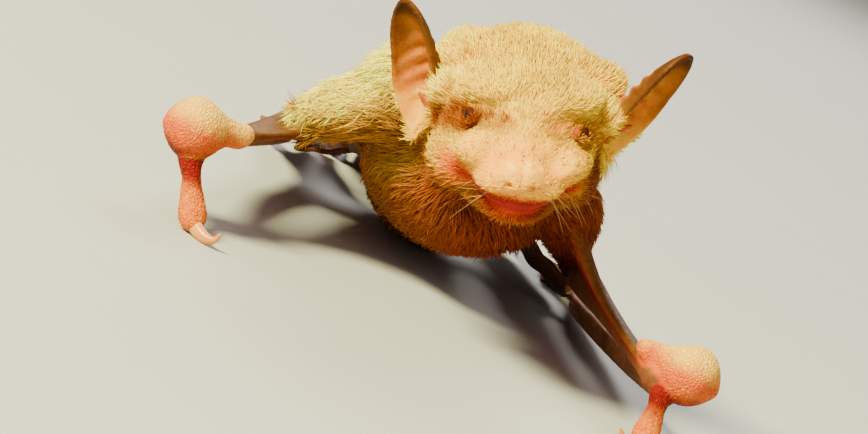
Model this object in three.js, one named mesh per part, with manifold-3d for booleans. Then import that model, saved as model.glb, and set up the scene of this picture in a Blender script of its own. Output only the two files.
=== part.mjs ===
// A thick-thumbed bat, life size, propped on its thumbs on a flat floor, with folded wings and a raised, cocked head.
// Millimetres. The bat faces -Y, its left side is +X, up is +Z, and what it rests on is Z = 0.
// Each part of the body is a closed solid out to the tips of its fur, a thin cut away from its neighbours.

import * as THREE from "three";
import Module from "manifold-3d";

const wasm = await Module();
wasm.setup();

// ---- Driving sizes -------------------------------------------------------------------------------------

const FOREARM = 28.5; // elbow to wrist
const UPPER_ARM = 19; // shoulder to elbow
const EAR = 9.0; // from the middle of the ear's base to its tip
const PAD = 2.1; // radius of the fleshy pad at the thumb's base
const HEAD = 1.03; // scale of the head against its own station list
const SHEET = 0.5; // thickness of a membrane or an ear
const GAP = 0.3; // cut between neighbouring parts
const TRIM = 0.12; // how far a carved surface may be evened out

const UP = new THREE.Vector3(0, 0, 1);
const vec = (x, y, z) => new THREE.Vector3(x, y, z);
const lerp = THREE.MathUtils.lerp;
const radians = THREE.MathUtils.degToRad;

// ---- Pose ----------------------------------------------------------------------------------------------

const LIFT = 3.1; // how far the chest is raised over a crouch; the rump stays on the floor
const lift = (y) => LIFT * THREE.MathUtils.clamp((18 - y) / 20, 0, 1);
const raised = (stations) => stations.map(([x, y, z, ...oval]) => [x, y, z + lift(y), ...oval]);

const HEAD_AT = vec(-0.43, -10.4, 12.4 + LIFT);
const HEAD_TURN = new THREE.Euler(radians(15), radians(-17), radians(5.5), "ZXY"); // nod, cock, turn

// Landmarks of each side. elbowSide is the way the elbow points, tug is how far the pad's narrow end is drawn
// towards the shoulder, and the thumb hangs that far inward of the pad, leaning further in as it goes down.
const LIMBS = {
  left: {
    side: 1,
    shoulder: vec(6.2, -2.6, 10.9),
    wrist: vec(15.0, -14.1, 4.1),
    pad: vec(17.0, -13.6, 5.35),
    elbowSide: [0.54, 0.69, -0.57],
    tug: 3.2,
    thumb: { inward: 1.25, lean: 0.08 },
    ear: { splay: 30, nod: 4, base: vec(5.55, -1.4, -1.2) },
    earFur: vec(4.9, 0.2, 2.3),
    mantle: { at: vec(4.3, -1.6, 14.1), size: [3.5, 4.2, 3.1] },
  },
  right: {
    side: -1,
    shoulder: vec(-6.2, -2.4, 10.9),
    wrist: vec(-16.4, -11.2, 6.05),
    pad: vec(-19.0, -12.2, 5.75),
    elbowSide: [0.68, 0.78, -0.49],
    tug: 1.6,
    thumb: { inward: 0.5, lean: 0.55 },
    ear: { splay: 24, nod: -10, base: vec(-5.5, -1.4, -1.75) },
    earFur: vec(-4.2, 0.2, 3.1),
    mantle: { at: vec(-5.2, -1.2, 13.3), size: [4.1, 4.8, 3.0] },
  },
};
const HIP = [2.8, 17.5, 5.0];
const KNEE = [8.4, 21.5, 6.6];
const ANKLE = [5.8, 31.9, 1.9];

// ---- Closed surfaces -----------------------------------------------------------------------------------

/** A geometry from points and triangles, its faces turned outwards. */
function geometryFrom(points, faces) {
  let volume = 0;
  for (const [a, b, c] of faces) {
    volume += points[a].dot(vec(0, 0, 0).crossVectors(points[b], points[c]));
  }
  const turned = volume < 0 ? faces.map(([a, b, c]) => [a, c, b]) : faces;
  const geometry = new THREE.BufferGeometry().setFromPoints(points);
  geometry.setIndex(turned.flat());
  return geometry;
}

/** Triangles that join each ring of points to the next. */
function wallFaces(ringCount, ringSize) {
  const faces = [];
  for (let ring = 0; ring + 1 < ringCount; ring++) {
    for (let i = 0; i < ringSize; i++) {
      const a = ring * ringSize + i;
      const b = ring * ringSize + ((i + 1) % ringSize);
      faces.push([a, b, b + ringSize], [a, b + ringSize, a + ringSize]);
    }
  }
  return faces;
}

/**
 * A rounded body along a smooth line, closed at both ends.
 * A station is [x, y, z, half width, height above the line, depth below it]; the last two may be left out.
 * grow makes it larger all round, which is how a neighbour is cut back with a gap.
 */
function loft(stations, { sides = 16, rings = 14, grow = 0, up = UP } = {}) {
  const line = new THREE.CatmullRomCurve3(stations.map(([x, y, z]) => vec(x, y, z)));
  const squares = new THREE.CatmullRomCurve3(
    stations.map(([, , , w, t = w, b = t]) => vec(w * w, t * t, b * b)),
    false,
    "catmullrom",
  );
  const length = line.getLength();
  const points = [];
  for (let ring = 1; ring <= rings; ring++) {
    const share = (1 - Math.cos((Math.PI * ring) / (rings + 1))) / 2;
    const along = share * (length + 2 * grow) - grow;
    const u = THREE.MathUtils.clamp(along / length, 0, 1);
    const t = line.getUtoTmapping(u);
    const forward = line.getTangent(t);
    const across = vec(0, 0, 0).crossVectors(forward, up).normalize();
    const top = vec(0, 0, 0).crossVectors(across, forward);
    const centre = line.getPoint(t).addScaledVector(forward, along - u * length);
    const [w, above, below] = squares.getPoint(t).toArray().map((s) => Math.sqrt(Math.max(s, 0)) + grow);
    const toEnd = Math.min(along + grow, length + grow - along) / w;
    const round = toEnd < 1 ? Math.sqrt(1 - (1 - toEnd) ** 2) : 1;
    for (let i = 0; i < sides; i++) {
      const angle = (2 * Math.PI * i) / sides;
      const height = Math.sin(angle) > 0 ? above : below;
      points.push(
        centre
          .clone()
          .addScaledVector(across, round * w * Math.cos(angle))
          .addScaledVector(top, round * height * Math.sin(angle)),
      );
    }
  }
  const first = points.length;
  const last = first + 1;
  points.push(
    line.getPoint(0).addScaledVector(line.getTangent(0), -grow),
    line.getPoint(1).addScaledVector(line.getTangent(1), grow),
  );
  const faces = wallFaces(rings, sides);
  const finalRing = (rings - 1) * sides;
  for (let i = 0; i < sides; i++) {
    const next = (i + 1) % sides;
    faces.push([first, next, i], [last, finalRing + i, finalRing + next]);
  }
  return solidOf(geometryFrom(points, faces));
}

/**
 * A thin sheet. place(u, v) gives its middle surface, with u across and v along, each from 0 to 1.
 * thick is one thickness, or a function of u and v.
 */
function sheet(place, { across = 8, along = 12, thick = SHEET } = {}) {
  const thickness = typeof thick === "function" ? thick : () => thick;
  const step = 1e-3;
  const points = [];
  const normalAt = (u, v) => {
    const du = place(Math.min(u + step, 1), v).sub(place(Math.max(u - step, 0), v));
    const dv = place(u, Math.min(v + step, 1)).sub(place(u, Math.max(v - step, 0)));
    return du.cross(dv).normalize();
  };
  for (let row = 0; row <= along; row++) {
    for (const face of [1, -1]) {
      for (let i = 0; i <= across; i++) {
        const u = (face > 0 ? i : across - i) / across;
        const v = row / along;
        points.push(place(u, v).addScaledVector(normalAt(u, v), (face * thickness(u, v)) / 2));
      }
    }
  }
  const ringSize = 2 * (across + 1);
  const faces = wallFaces(along + 1, ringSize);
  const lastRow = along * ringSize;
  for (let i = 0; i < across; i++) {
    const [a, b, c, d] = [i, i + 1, ringSize - 2 - i, ringSize - 1 - i];
    faces.push([a, c, b], [a, d, c]);
    faces.push([lastRow + a, lastRow + b, lastRow + c], [lastRow + a, lastRow + c, lastRow + d]);
  }
  return solidOf(geometryFrom(points, faces));
}

/** A ball with its own radius along each axis. */
function ball([x, y, z], [rx, ry, rz], { grow = 0, sides = 10, rings = 7 } = {}) {
  const geometry = new THREE.SphereGeometry(1, sides, rings);
  geometry.scale(rx + grow, ry + grow, rz + grow).translate(x, y, z);
  return solidOf(closed(geometry));
}

/** A three.js geometry with its seam and poles merged into shared points. */
function closed(geometry) {
  const at = geometry.getAttribute("position");
  const index = geometry.getIndex().array;
  const numbers = new Map();
  const points = [];
  const shared = [];
  for (let i = 0; i < at.count; i++) {
    const point = vec(0, 0, 0).fromBufferAttribute(at, i);
    const key = point.toArray().map((n) => Math.round(n * 1e4)).join();
    if (!numbers.has(key)) {
      numbers.set(key, points.length);
      points.push(point);
    }
    shared.push(numbers.get(key));
  }
  const faces = [];
  for (let i = 0; i < index.length; i += 3) {
    const [a, b, c] = [shared[index[i]], shared[index[i + 1]], shared[index[i + 2]]];
    if (a !== b && b !== c && a !== c) faces.push([a, b, c]);
  }
  return geometryFrom(points, faces);
}

// ---- Booleans ------------------------------------------------------------------------------------------

function solidOf(geometry) {
  return new wasm.Manifold(
    new wasm.Mesh({
      numProp: 3,
      vertProperties: new Float32Array(geometry.getAttribute("position").array),
      triVerts: new Uint32Array(geometry.getIndex().array),
    }),
  );
}

function geometryOf(solid) {
  const { vertProperties, triVerts } = solid.getMesh();
  const geometry = new THREE.BufferGeometry();
  geometry.setAttribute("position", new THREE.BufferAttribute(vertProperties, 3));
  geometry.setIndex(new THREE.BufferAttribute(triVerts, 1));
  geometry.computeVertexNormals();
  return geometry;
}

const joined = (...solids) => solids.reduce((whole, next) => whole.add(next));

/** What is left of a solid after its neighbours are cut away: its largest piece. */
function carved(solid, ...neighbours) {
  const pieces = neighbours.reduce((left, next) => left.subtract(next), solid).decompose();
  return pieces.reduce((most, piece) => (piece.volume() > most.volume() ? piece : most)).simplify(TRIM);
}

// The space above the floor. What presses on the floor ends in a small flat at Z = 0.
const ABOVE_FLOOR = solidOf(closed(new THREE.BoxGeometry(200, 200, 60).translate(0, 0, 30)));
const onFloor = (solid) => solid.intersect(ABOVE_FLOOR);

// ---- Materials -----------------------------------------------------------------------------------------

const finish = (color, roughness) => new THREE.MeshStandardMaterial({ color, roughness, metalness: 0 });
const FUR = finish(0xd9b67a, 0.9);
const PINK_SKIN = finish(0xd98a6c, 0.55);
const EAR_SKIN = finish(0xa9743f, 0.6);
const WING_SKIN = finish(0x4a352b, 0.6);
const EYE = finish(0x0c0807, 0.15);
const CLAW = finish(0xe6cf9a, 0.35);

const bat = new THREE.Group();
const headGroup = new THREE.Group();
headGroup.position.copy(HEAD_AT);
headGroup.rotation.copy(HEAD_TURN);
bat.add(headGroup);
headGroup.updateMatrixWorld(true);

function addPart(name, solid, material, group = bat) {
  const mesh = new THREE.Mesh(geometryOf(solid), material);
  mesh.name = name;
  group.add(mesh);
}

/** A solid of the head's own frame, brought into the body's frame. */
const inBody = (solid) => solid.transform(headGroup.matrixWorld.elements);

// ---- Head, in its own frame: origin at the middle of the skull, nose towards -Y --------------------------

const scaled = (stations) => stations.map((station) => station.map((n) => n * HEAD));

const SKULL = scaled([
  [0, 6.4, -0.4, 0],
  [0, 4.9, -0.2, 3.7, 3.3, 3.4],
  [0, 2.6, 0.0, 5.6, 5.4, 4.6],
  [0, 0.3, 0.0, 6.0, 5.8, 4.9],
  [0, -1.9, -0.1, 5.5, 4.8, 4.7],
  [0, -3.9, -0.3, 4.8, 3.3, 4.0],
  [0, -5.6, -0.5, 4.1, 2.3, 3.2],
  [0, -7.1, -0.7, 3.1, 1.7, 2.4],
  [0, -8.2, -0.8, 1.9, 1.0, 1.5],
  [0, -8.7, -0.9, 0],
]);
const JAW = scaled([
  [0, -0.2, -3.9, 0],
  [0, -1.6, -3.8, 3.5, 1.2, 1.5],
  [0, -4.0, -3.6, 3.1, 1.1, 1.4],
  [0, -6.2, -3.2, 2.3, 0.9, 1.2],
  [0, -7.7, -2.9, 0],
]);
const MUZZLE_SWELLING = { at: [2.7, -5.75, 0.1], size: [1.85, 1.75, 1.4] };
const NOSE_AT = [0, -8.0, -0.55];
const NOSE_SIZE = [1.3, 0.65, 0.75];
const EYE_AT = [3.5, -4.3, 1.3];
const EYE_RADIUS = 0.55;
const EYE_HOLLOW = { at: [4.5, -4.7, 1.9], size: [1.3, 1.5, 1.15] };
const EAR_FUR = [1.9, 1.6, 2.2]; // size of the furry bump at the ear's inner base

const mirrored = ([x, y, z], side) => [x * side, y, z];
const skull = (grow) => {
  const swellings = [1, -1].map((side) => ball(mirrored(MUZZLE_SWELLING.at, side), MUZZLE_SWELLING.size, { grow }));
  const hollows = [1, -1].map((side) => ball(mirrored(EYE_HOLLOW.at, side), EYE_HOLLOW.size, { grow: -grow }));
  const bumps = Object.values(LIMBS).map(({ earFur }) => ball(earFur.toArray(), EAR_FUR, { grow, sides: 9, rings: 6 }));
  const full = joined(loft(SKULL, { sides: 18, rings: 10, grow }), ...swellings, ...bumps);
  return hollows.reduce((left, next) => left.subtract(next), full);
};
const jaw = (grow) => loft(JAW, { sides: 13, rings: 7, grow });
const nose = (grow) => ball(NOSE_AT, NOSE_SIZE, { grow, sides: 12, rings: 7 });
const eye = (side, grow) =>
  ball(mirrored(EYE_AT, side), [EYE_RADIUS, EYE_RADIUS, EYE_RADIUS], { grow, sides: 9, rings: 5 });

/** Half the ear's width at a share of its height: widest halfway up, with a broad rounded tip. */
function earHalfWidth(v) {
  const widest = 0.45;
  if (v < widest) return lerp(1.5, 1.95, v / widest);
  const x = Math.min((v - widest) / (1 - widest), 0.985);
  return 1.95 * (1 - x ** 2.4) ** 0.55;
}

/** The ear is a scoop that opens forwards and outwards; its outer margin starts lower than its front one. */
function earShell(side, { splay, nod, base: foot }) {
  const facing = radians(42);
  const opening = vec(side * Math.sin(facing), -Math.cos(facing), 0);
  const chord = vec(side * Math.cos(facing), Math.sin(facing), 0);
  const turn = new THREE.Matrix4()
    .makeTranslation(...foot)
    .multiply(new THREE.Matrix4().makeRotationFromEuler(new THREE.Euler(radians(nod), radians(side * splay), 0)));
  const place = (u, v) => {
    const s = 2 * u - 1;
    const curl = radians(lerp(88, 55, v));
    const radius = (earHalfWidth(v) * (s < 0 ? 0.9 : 1)) / Math.sin(curl);
    const base = 0.7 - 1.3 * s;
    const lobe = s > 0 ? 0.45 * s * Math.sin(Math.PI * Math.min(v * 1.3 + 0.2, 1)) : 0;
    return vec(0, 0, lerp(base, EAR, v))
      .addScaledVector(chord, radius * Math.sin(curl * s) + lobe)
      .addScaledVector(opening, -radius * (Math.cos(curl * s) - Math.cos(curl)) - 0.5 * v * v)
      .applyMatrix4(turn);
  };
  return { shell: sheet(place, { across: 8, along: 8 }), turn };
}

/** The blunt lobe in front of the ear's opening. */
function tragusBlade(side, turn) {
  const stations = [
    [-0.1, 0.0, 0.7, 0.6, 0.32],
    [-0.2, -0.1, 1.8, 0.66, 0.3],
    [0.0, -0.2, 2.9, 0.5, 0.28],
    [0.3, -0.2, 3.5, 0],
  ];
  const placed = stations.map(([x, y, z, ...oval]) => [...vec(side * x, y, z).applyMatrix4(turn), ...oval]);
  return loft(placed, { sides: 9, rings: 7, up: vec(0, -1, 0) });
}

function addHead() {
  const swollenSkull = skull(0);
  const face = carved(swollenSkull, jaw(GAP), nose(GAP), eye(1, GAP), eye(-1, GAP));
  addPart("head", face, FUR, headGroup);
  addPart("lower_jaw", jaw(0), FUR, headGroup);
  addPart("nose", nose(0), PINK_SKIN, headGroup);
  for (const [name, { side, ear }] of Object.entries(LIMBS)) {
    const { shell, turn } = earShell(side, ear);
    const beside = [skull(GAP), jaw(GAP)];
    const tragus = carved(tragusBlade(side, turn), ...beside);
    addPart(`eye_${name}`, eye(side, 0), EYE, headGroup);
    addPart(`ear_${name}`, carved(shell, ...beside), EAR_SKIN, headGroup);
    addPart(`tragus_${name}`, tragus, EAR_SKIN, headGroup);
  }
}

// ---- Trunk, neck and tail ------------------------------------------------------------------------------

const TRUNK = raised([
  [0, 24.0, 3.9, 0],
  [0, 21.0, 4.5, 4.2, 3.5, 4.3],
  [0, 16.0, 5.3, 5.9, 4.9, 6.0],
  [0, 10.0, 6.1, 6.9, 6.0, 6.35],
  [0, 4.0, 6.7, 7.4, 6.5, 6.8],
  [0, 0.0, 7.4, 7.2, 6.1, 6.4],
  [0, -3.0, 8.2, 5.6, 4.2, 5.4],
  [0, -5.2, 8.8, 0],
]);
const NECK = raised([
  [0, 3.0, 8.6, 0],
  [0, 0.5, 9.4, 5.9, 5.0, 4.7],
  [0, -4.0, 10.9, 6.2, 5.1, 5.0],
  [0, -8.0, 12.0, 5.6, 4.7, 4.5],
  [0, -10.5, 12.6, 0],
]);
const TAIL = [
  [0, 21.6, 4.0, 0.9],
  [0, 27.0, 2.5, 0.75],
  [0, 36.0, 1.1, 0.6],
  [0, 45.0, 0.75, 0.5],
  [0, 52.0, 0.6, 0.4],
];
const trunk = (grow) => loft(TRUNK, { sides: 15, rings: 10, grow });
// The furry cape that runs out over the right upper arm.
const CAPE = [
  [-4.0, -1.0, 12.6, 3.2, 3.2, 3.2],
  [-6.6, -1.6, 12.0, 3.4, 3.0, 3.2],
  [-9.2, -2.1, 10.4, 3.1, 2.3, 2.8],
  [-11.6, -2.6, 8.8, 2.4, 1.4, 2.0],
  [-13.2, -3.0, 7.9, 0],
];
/** The neck with the fur over both shoulders. */
const neck = (grow) =>
  joined(
    loft(NECK, { sides: 14, rings: 6, grow }),
    loft(CAPE, { sides: 8, rings: 5, grow }),
    ...Object.values(LIMBS).map(({ mantle }) => ball(mantle.at.toArray(), mantle.size, { grow, sides: 9, rings: 6 })),
  );
const tail = (grow) => loft(TAIL, { sides: 7, rings: 8, grow });

// ---- Limbs ---------------------------------------------------------------------------------------------

/** Where the elbow lies, from both ends of the arm and its two lengths. */
function elbowOf({ side, shoulder, wrist, elbowSide: [outward, back, up] }) {
  const reach = wrist.clone().sub(shoulder);
  const span = reach.length();
  reach.normalize();
  const along = (UPPER_ARM ** 2 + span ** 2 - FOREARM ** 2) / (2 * span);
  const aside = vec(side * outward, back, up);
  aside.addScaledVector(reach, -aside.dot(reach)).normalize();
  const out = Math.sqrt(UPPER_ARM ** 2 - along ** 2);
  return shoulder.clone().addScaledVector(reach, along).addScaledVector(aside, out);
}

/** The solids of one arm, each as a function of how much it grows. */
function armOf(limb) {
  const { side, shoulder, wrist, tug } = limb;
  const elbow = elbowOf(limb);
  const between = (a, b, share) => a.clone().lerp(b, share);
  const station = (point, ...radii) => [...point.toArray(), ...radii];
  const inPad = (x, y, z) => limb.pad.clone().add(vec(side * x, y, z));
  const inThumb = (y, z, further = 0) => {
    const inward = limb.thumb.inward + limb.thumb.lean * (limb.pad.z - 1.6 - z) + further;
    return vec(limb.pad.x - side * inward, limb.pad.y + y, z);
  };

  const upperArm = (grow) =>
    loft(
      [
        station(between(shoulder, elbow, -0.06), 2.5),
        station(between(shoulder, elbow, 0.25), 2.9),
        station(between(shoulder, elbow, 0.65), 2.2),
        station(elbow, 1.15),
      ],
      { sides: 10, rings: 8, grow },
    );
  const forearm = (grow) =>
    loft(
      [
        station(between(elbow, wrist, -0.03), 0.95),
        station(between(elbow, wrist, 0.12), 1.15),
        station(between(elbow, wrist, 0.35), 1.0),
        station(between(elbow, wrist, 0.75), 0.72),
        station(between(elbow, wrist, 1), 0.95),
      ],
      { sides: 10, rings: 9, grow },
    );
  const narrowEnd = wrist.clone().addScaledVector(shoulder.clone().sub(wrist).normalize(), tug);
  const pad = (grow) =>
    loft(
      [
        station(narrowEnd, 0.45),
        station(between(narrowEnd, limb.pad, 0.55), 0.55 * PAD),
        station(limb.pad, PAD),
        station(inPad(1.35, -0.35, -0.2), 0.78 * PAD),
        station(inPad(2.05, -0.55, -0.3), 0),
      ],
      { sides: 11, rings: 8, grow },
    );
  const thumb = (grow) =>
    loft(
      [
        station(inThumb(-0.4, limb.pad.z - 1.4), 0.95),
        station(inThumb(-1.4, limb.pad.z - 2.75), 0.62),
        station(inThumb(-2.7, 1.02), 0.92),
        station(inThumb(-3.6, 0.58), 0.5),
      ],
      { sides: 10, rings: 8, grow, up: vec(0, -1, 0.3) },
    );
  const thumbClaw = (grow) =>
    loft(
      [
        station(inThumb(-3.3, 0.7, 0.3), 0.5),
        station(inThumb(-3.9, 0.36, 0.75), 0.4),
        station(inThumb(-4.2, 0.5, 1.4), 0.26),
        station(inThumb(-4.3, 1.15, 2.1), 0),
      ],
      { sides: 7, rings: 6, grow, up: vec(0, -1, 0.3) },
    );
  return { side, shoulder, elbow, wrist, upperArm, forearm, pad, thumb, thumbClaw };
}

/** The folded fingers from the middle one (2) to the last (0), each a line from the wrist past the elbow to its tip. */
function fingerLine({ side, elbow, wrist }, finger) {
  const start = wrist.clone().add(vec(side * (0.75 + 0.45 * finger), 1.2, -0.1 - 0.42 * finger));
  const knuckle = elbow.clone().add(vec(side * (1.3 + 0.9 * finger), 0.6 * finger - 1.2, 0));
  knuckle.z = Math.max(elbow.z - 2.2 - 1.15 * finger, 1.0);
  const middle = start.clone().lerp(knuckle, 0.5).add(vec(side * 0.3, 0, -0.4));
  const joint = vec(knuckle.x + side * 0.5, knuckle.y + 7.5 + finger, lerp(knuckle.z, 0.8, 0.55));
  const tip = vec(side * (11.9 + 0.25 * finger), knuckle.y + 9.6 + 2.8 * finger, 0.75);
  return new THREE.CatmullRomCurve3([start, middle, knuckle, joint, tip]);
}

/** The folded hand: a membrane that thickens where each of its three long fingers runs through it. */
function handWing(arm, grow) {
  const lines = [0, 1, 2].map((finger) => fingerLine(arm, finger));
  const place = (u, v) => {
    const finger = Math.min(Math.floor(2 * u), 1);
    const along = lerp(0.01, 0.99, v);
    const share = 2 * u - finger;
    const sag = vec(0, 0, -0.25 * Math.sin(Math.PI * share));
    return lines[finger].getPointAt(along).lerp(lines[finger + 1].getPointAt(along), share).add(sag);
  };
  const thick = (u, v) => lerp(SHEET, lerp(1.0, 0.7, v), Math.cos(2 * Math.PI * u) ** 2) + 2 * grow;
  return sheet(place, { across: 4, along: 12, thick });
}

/** The membrane in front of the elbow, from the upper arm to the forearm, with a free leading edge. It is furred near the shoulder. */
function frontMembrane({ shoulder, elbow, wrist }) {
  const thick = (u, v) => SHEET + 1.6 * v * Math.max(1 - u / 0.7, 0) ** 0.8;
  const place = (u, v) => {
    const edge = lerp(0.28, 0.97, v) * (1 - 0.1 * Math.sin(Math.PI * u) * v);
    const inner = elbow.clone().lerp(shoulder, edge);
    const outer = elbow.clone().lerp(wrist, edge);
    return inner.lerp(outer, u).add(vec(0, 0, -0.7 * Math.sin(Math.PI * u) * v));
  };
  return sheet(place, { across: 5, along: 6, thick });
}

/** The slack membrane between two lines, in soft pleats that run along it. */
function pleated(inner, outer, { pleats, depth, sag, across = 6, along = 7 }) {
  const place = (u, v) => {
    const point = inner.getPoint(v).lerp(outer.getPoint(v), u);
    const wave = depth * Math.sin(2 * Math.PI * pleats * u) * Math.sin(Math.PI * u);
    return point.add(vec(0, 0, (wave - sag * Math.sin(Math.PI * u)) * Math.sin(Math.PI * lerp(0.15, 0.85, v))));
  };
  return sheet(place, { across, along });
}

const sideCurve = (side, points) => new THREE.CatmullRomCurve3(points.map(([x, y, z]) => vec(side * x, y, z)));

function armMembrane({ side, elbow }) {
  const inner = sideCurve(side, [[7.3, 9, 5.2], [7.0, 15, 4.0], [7.6, 20.5, 4.0], [7.9, 26, 2.9], [7.0, 31, 1.6]]);
  const outer = sideCurve(side, [
    [11.0, 9, 3.6],
    [Math.abs(elbow.x) + 0.9, elbow.y + 0.5, Math.max(elbow.z - 3.6, 1.3)],
    [11.6, 22.6, 1.5],
    [9.9, 27.6, 1.1],
    [8.2, 31.6, 0.9],
  ]);
  return pleated(inner, outer, { pleats: 2, depth: 0.55, sag: 0.5 });
}

const CALCAR = [[5.0, 32.5, 1.2, 0.34], [3.9, 38.8, 0.8, 0.3], [2.8, 44.5, 0.6, 0.27]];

function tailMembrane(side) {
  const inner = sideCurve(side, [[0.4, 24, 3.2], [0.4, 30, 1.9], [0.4, 38, 1.0], [0.4, 49, 0.7]]);
  const outer = sideCurve(side, [
    [4.2, 23.5, 3.6],
    [5.8, 27.6, 3.1],
    [4.9, 32.6, 1.3],
    [3.7, 40.5, 0.9],
    [1.4, 50.5, 0.75],
  ]);
  return pleated(inner, outer, { pleats: 1.5, depth: 0.3, sag: 0.1 });
}

/** The solids of one leg, each as a function of how much it grows. */
function legOf(side) {
  const at = ([x, y, z], ...radii) => [side * x, y, z, ...radii];
  const share = (a, b, s) => a.map((n, i) => lerp(n, b[i], s));
  const thigh = (grow) =>
    loft([at(HIP, 2.1), at(share(HIP, KNEE, 0.5), 1.9), at(share(HIP, KNEE, 0.9), 1.35), at(KNEE, 1.15)], {
      sides: 10,
      rings: 7,
      grow,
    });
  const shin = (grow) =>
    loft([at(KNEE, 1.05), at(share(KNEE, ANKLE, 0.3), 0.95), at(ANKLE, 0.55)], { sides: 8, rings: 6, grow });
  const calcar = (grow) => loft(CALCAR.map(([x, y, z, r]) => [side * x, y, z, r]), { sides: 6, rings: 5, grow });

  const heading = vec(side * 0.2, 0.98, 0).normalize();
  const beside = vec(side * 0.98, -0.2, 0).normalize();
  const ankle = vec(side * ANKLE[0], ANKLE[1], ANKLE[2]);
  const onFoot = (forward, out, z, ...radii) => [
    ...ankle.clone().setZ(z).addScaledVector(heading, forward).addScaledVector(beside, out).toArray(),
    ...radii,
  ];
  const toe = (number) => {
    const fan = 0.42 * number;
    const length = 5.6 - 0.25 * Math.abs(number);
    return loft(
      [
        onFoot(2.2, fan * 0.7, 0.75, 0.36),
        onFoot(3.6, fan * 1.3, 0.55, 0.34),
        onFoot(length - 0.5, fan * 2.0, 0.3, 0.36),
        onFoot(length + 0.1, fan * 2.2, 0.5, 0.26),
        onFoot(length + 0.9, fan * 2.5, 0.2, 0),
      ],
      { sides: 5, rings: 4 },
    );
  };
  const foot = (grow) => {
    const sole = loft(
      [onFoot(-0.3, 0, 1.75, 0.6), onFoot(1.0, 0, 1.2, 0.75, 0.6, 0.75), onFoot(3.4, 0, 0.6, 1.15, 0.45, 0.8)],
      { sides: 8, rings: 5, grow },
    );
    return grow ? sole : joined(sole, ...[-2, -1, 0, 1, 2].map(toe));
  };
  return { thigh, shin, calcar, foot };
}

// ---- The whole bat -------------------------------------------------------------------------------------

function addBody() {
  const arms = Object.entries(LIMBS).map(([name, limb]) => ({ name, ...armOf(limb) }));
  const legs = arms.map(({ name, side }) => ({ name, side, ...legOf(side) }));
  const headInBody = inBody(joined(skull(GAP), jaw(GAP)));

  const body = carved(trunk(0), ...arms.map((arm) => arm.upperArm(GAP)), ...legs.map((leg) => leg.thigh(GAP)), tail(GAP));
  addPart("trunk", onFloor(carved(body, headInBody)), FUR);
  addPart("neck", carved(neck(0), trunk(GAP), headInBody, ...arms.map((arm) => arm.upperArm(GAP))), FUR);
  addPart("tail", tail(0), WING_SKIN);

  arms.forEach((arm, i) => {
    const { name } = arm;
    const leg = legs[i];
    const [upperArm, forearm, pad] = [arm.upperArm(GAP), arm.forearm(GAP), arm.pad(GAP)];
    const hand = handWing(arm, GAP);
    addPart(`upper_arm_${name}`, carved(arm.upperArm(0), forearm, headInBody), FUR);
    addPart(`forearm_${name}`, onFloor(carved(arm.forearm(0), pad)), WING_SKIN);
    addPart(`thumb_pad_${name}`, onFloor(arm.pad(0)), PINK_SKIN);
    addPart(`thumb_${name}`, onFloor(carved(arm.thumb(0), pad, arm.thumbClaw(GAP))), PINK_SKIN);
    addPart(`thumb_claw_${name}`, onFloor(arm.thumbClaw(0)), CLAW);
    addPart(`hand_wing_${name}`, onFloor(carved(handWing(arm, 0), forearm, pad, upperArm)), WING_SKIN);
    addPart(
      `front_membrane_${name}`,
      carved(frontMembrane(arm), upperArm, forearm, trunk(GAP), neck(GAP), headInBody, pad),
      WING_SKIN,
    );
    addPart(
      `arm_membrane_${name}`,
      onFloor(carved(armMembrane(arm), trunk(GAP), leg.thigh(GAP), leg.shin(GAP), leg.foot(GAP), upperArm, forearm, hand)),
      WING_SKIN,
    );
    addPart(`thigh_${name}`, leg.thigh(0), FUR);
    addPart(`shin_${name}`, carved(leg.shin(0), leg.thigh(GAP), leg.foot(GAP)), WING_SKIN);
    addPart(`foot_${name}`, onFloor(leg.foot(0)), PINK_SKIN);
    addPart(`calcar_${name}`, onFloor(carved(leg.calcar(0), leg.foot(GAP), leg.shin(GAP))), WING_SKIN);
    addPart(
      `tail_membrane_${name}`,
      onFloor(carved(tailMembrane(leg.side), trunk(GAP), tail(GAP), leg.thigh(GAP), leg.shin(GAP), leg.foot(GAP), leg.calcar(GAP))),
      WING_SKIN,
    );
  });
}

addHead();
addBody();

// The origin is the middle of the bat's footprint, on the floor.
const object = new THREE.Group();
object.add(bat);
const middle = new THREE.Box3().setFromObject(object, true).getCenter(vec(0, 0, 0));
bat.position.set(-middle.x, -middle.y, 0);

export default object;
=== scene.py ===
"""A thick-thumbed bat, life size, propped on its thumbs on a pale floor: skin, coat, eyes, claws and stage.

Shapes are worked out in millimetres in the row frame, then written in metres. The skin is one surface, taken
from a grid of distances into which every part of the flesh is blended. The coat is thin solid tufts on it.
"""

import math

import bmesh
import bpy
import numpy as np
import openvdb
from mathutils import Matrix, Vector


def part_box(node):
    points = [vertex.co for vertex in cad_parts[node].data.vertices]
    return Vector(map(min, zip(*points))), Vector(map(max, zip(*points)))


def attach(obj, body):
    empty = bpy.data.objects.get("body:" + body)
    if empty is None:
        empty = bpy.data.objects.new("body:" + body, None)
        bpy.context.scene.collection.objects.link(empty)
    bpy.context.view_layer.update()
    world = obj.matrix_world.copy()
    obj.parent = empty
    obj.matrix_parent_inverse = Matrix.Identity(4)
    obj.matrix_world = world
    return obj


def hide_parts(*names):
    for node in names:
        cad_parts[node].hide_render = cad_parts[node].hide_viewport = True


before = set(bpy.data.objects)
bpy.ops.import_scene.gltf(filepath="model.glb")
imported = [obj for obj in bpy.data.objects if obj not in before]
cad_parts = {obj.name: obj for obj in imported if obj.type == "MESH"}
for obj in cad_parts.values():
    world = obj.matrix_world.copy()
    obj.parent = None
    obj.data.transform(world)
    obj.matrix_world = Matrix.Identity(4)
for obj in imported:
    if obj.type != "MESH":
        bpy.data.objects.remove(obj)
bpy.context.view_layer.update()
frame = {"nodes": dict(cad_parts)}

MM = 0.001
UP = np.array([0, 0, 1.0])
rng = np.random.default_rng(11)
SIDES = {"left": 1, "right": -1}


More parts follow.
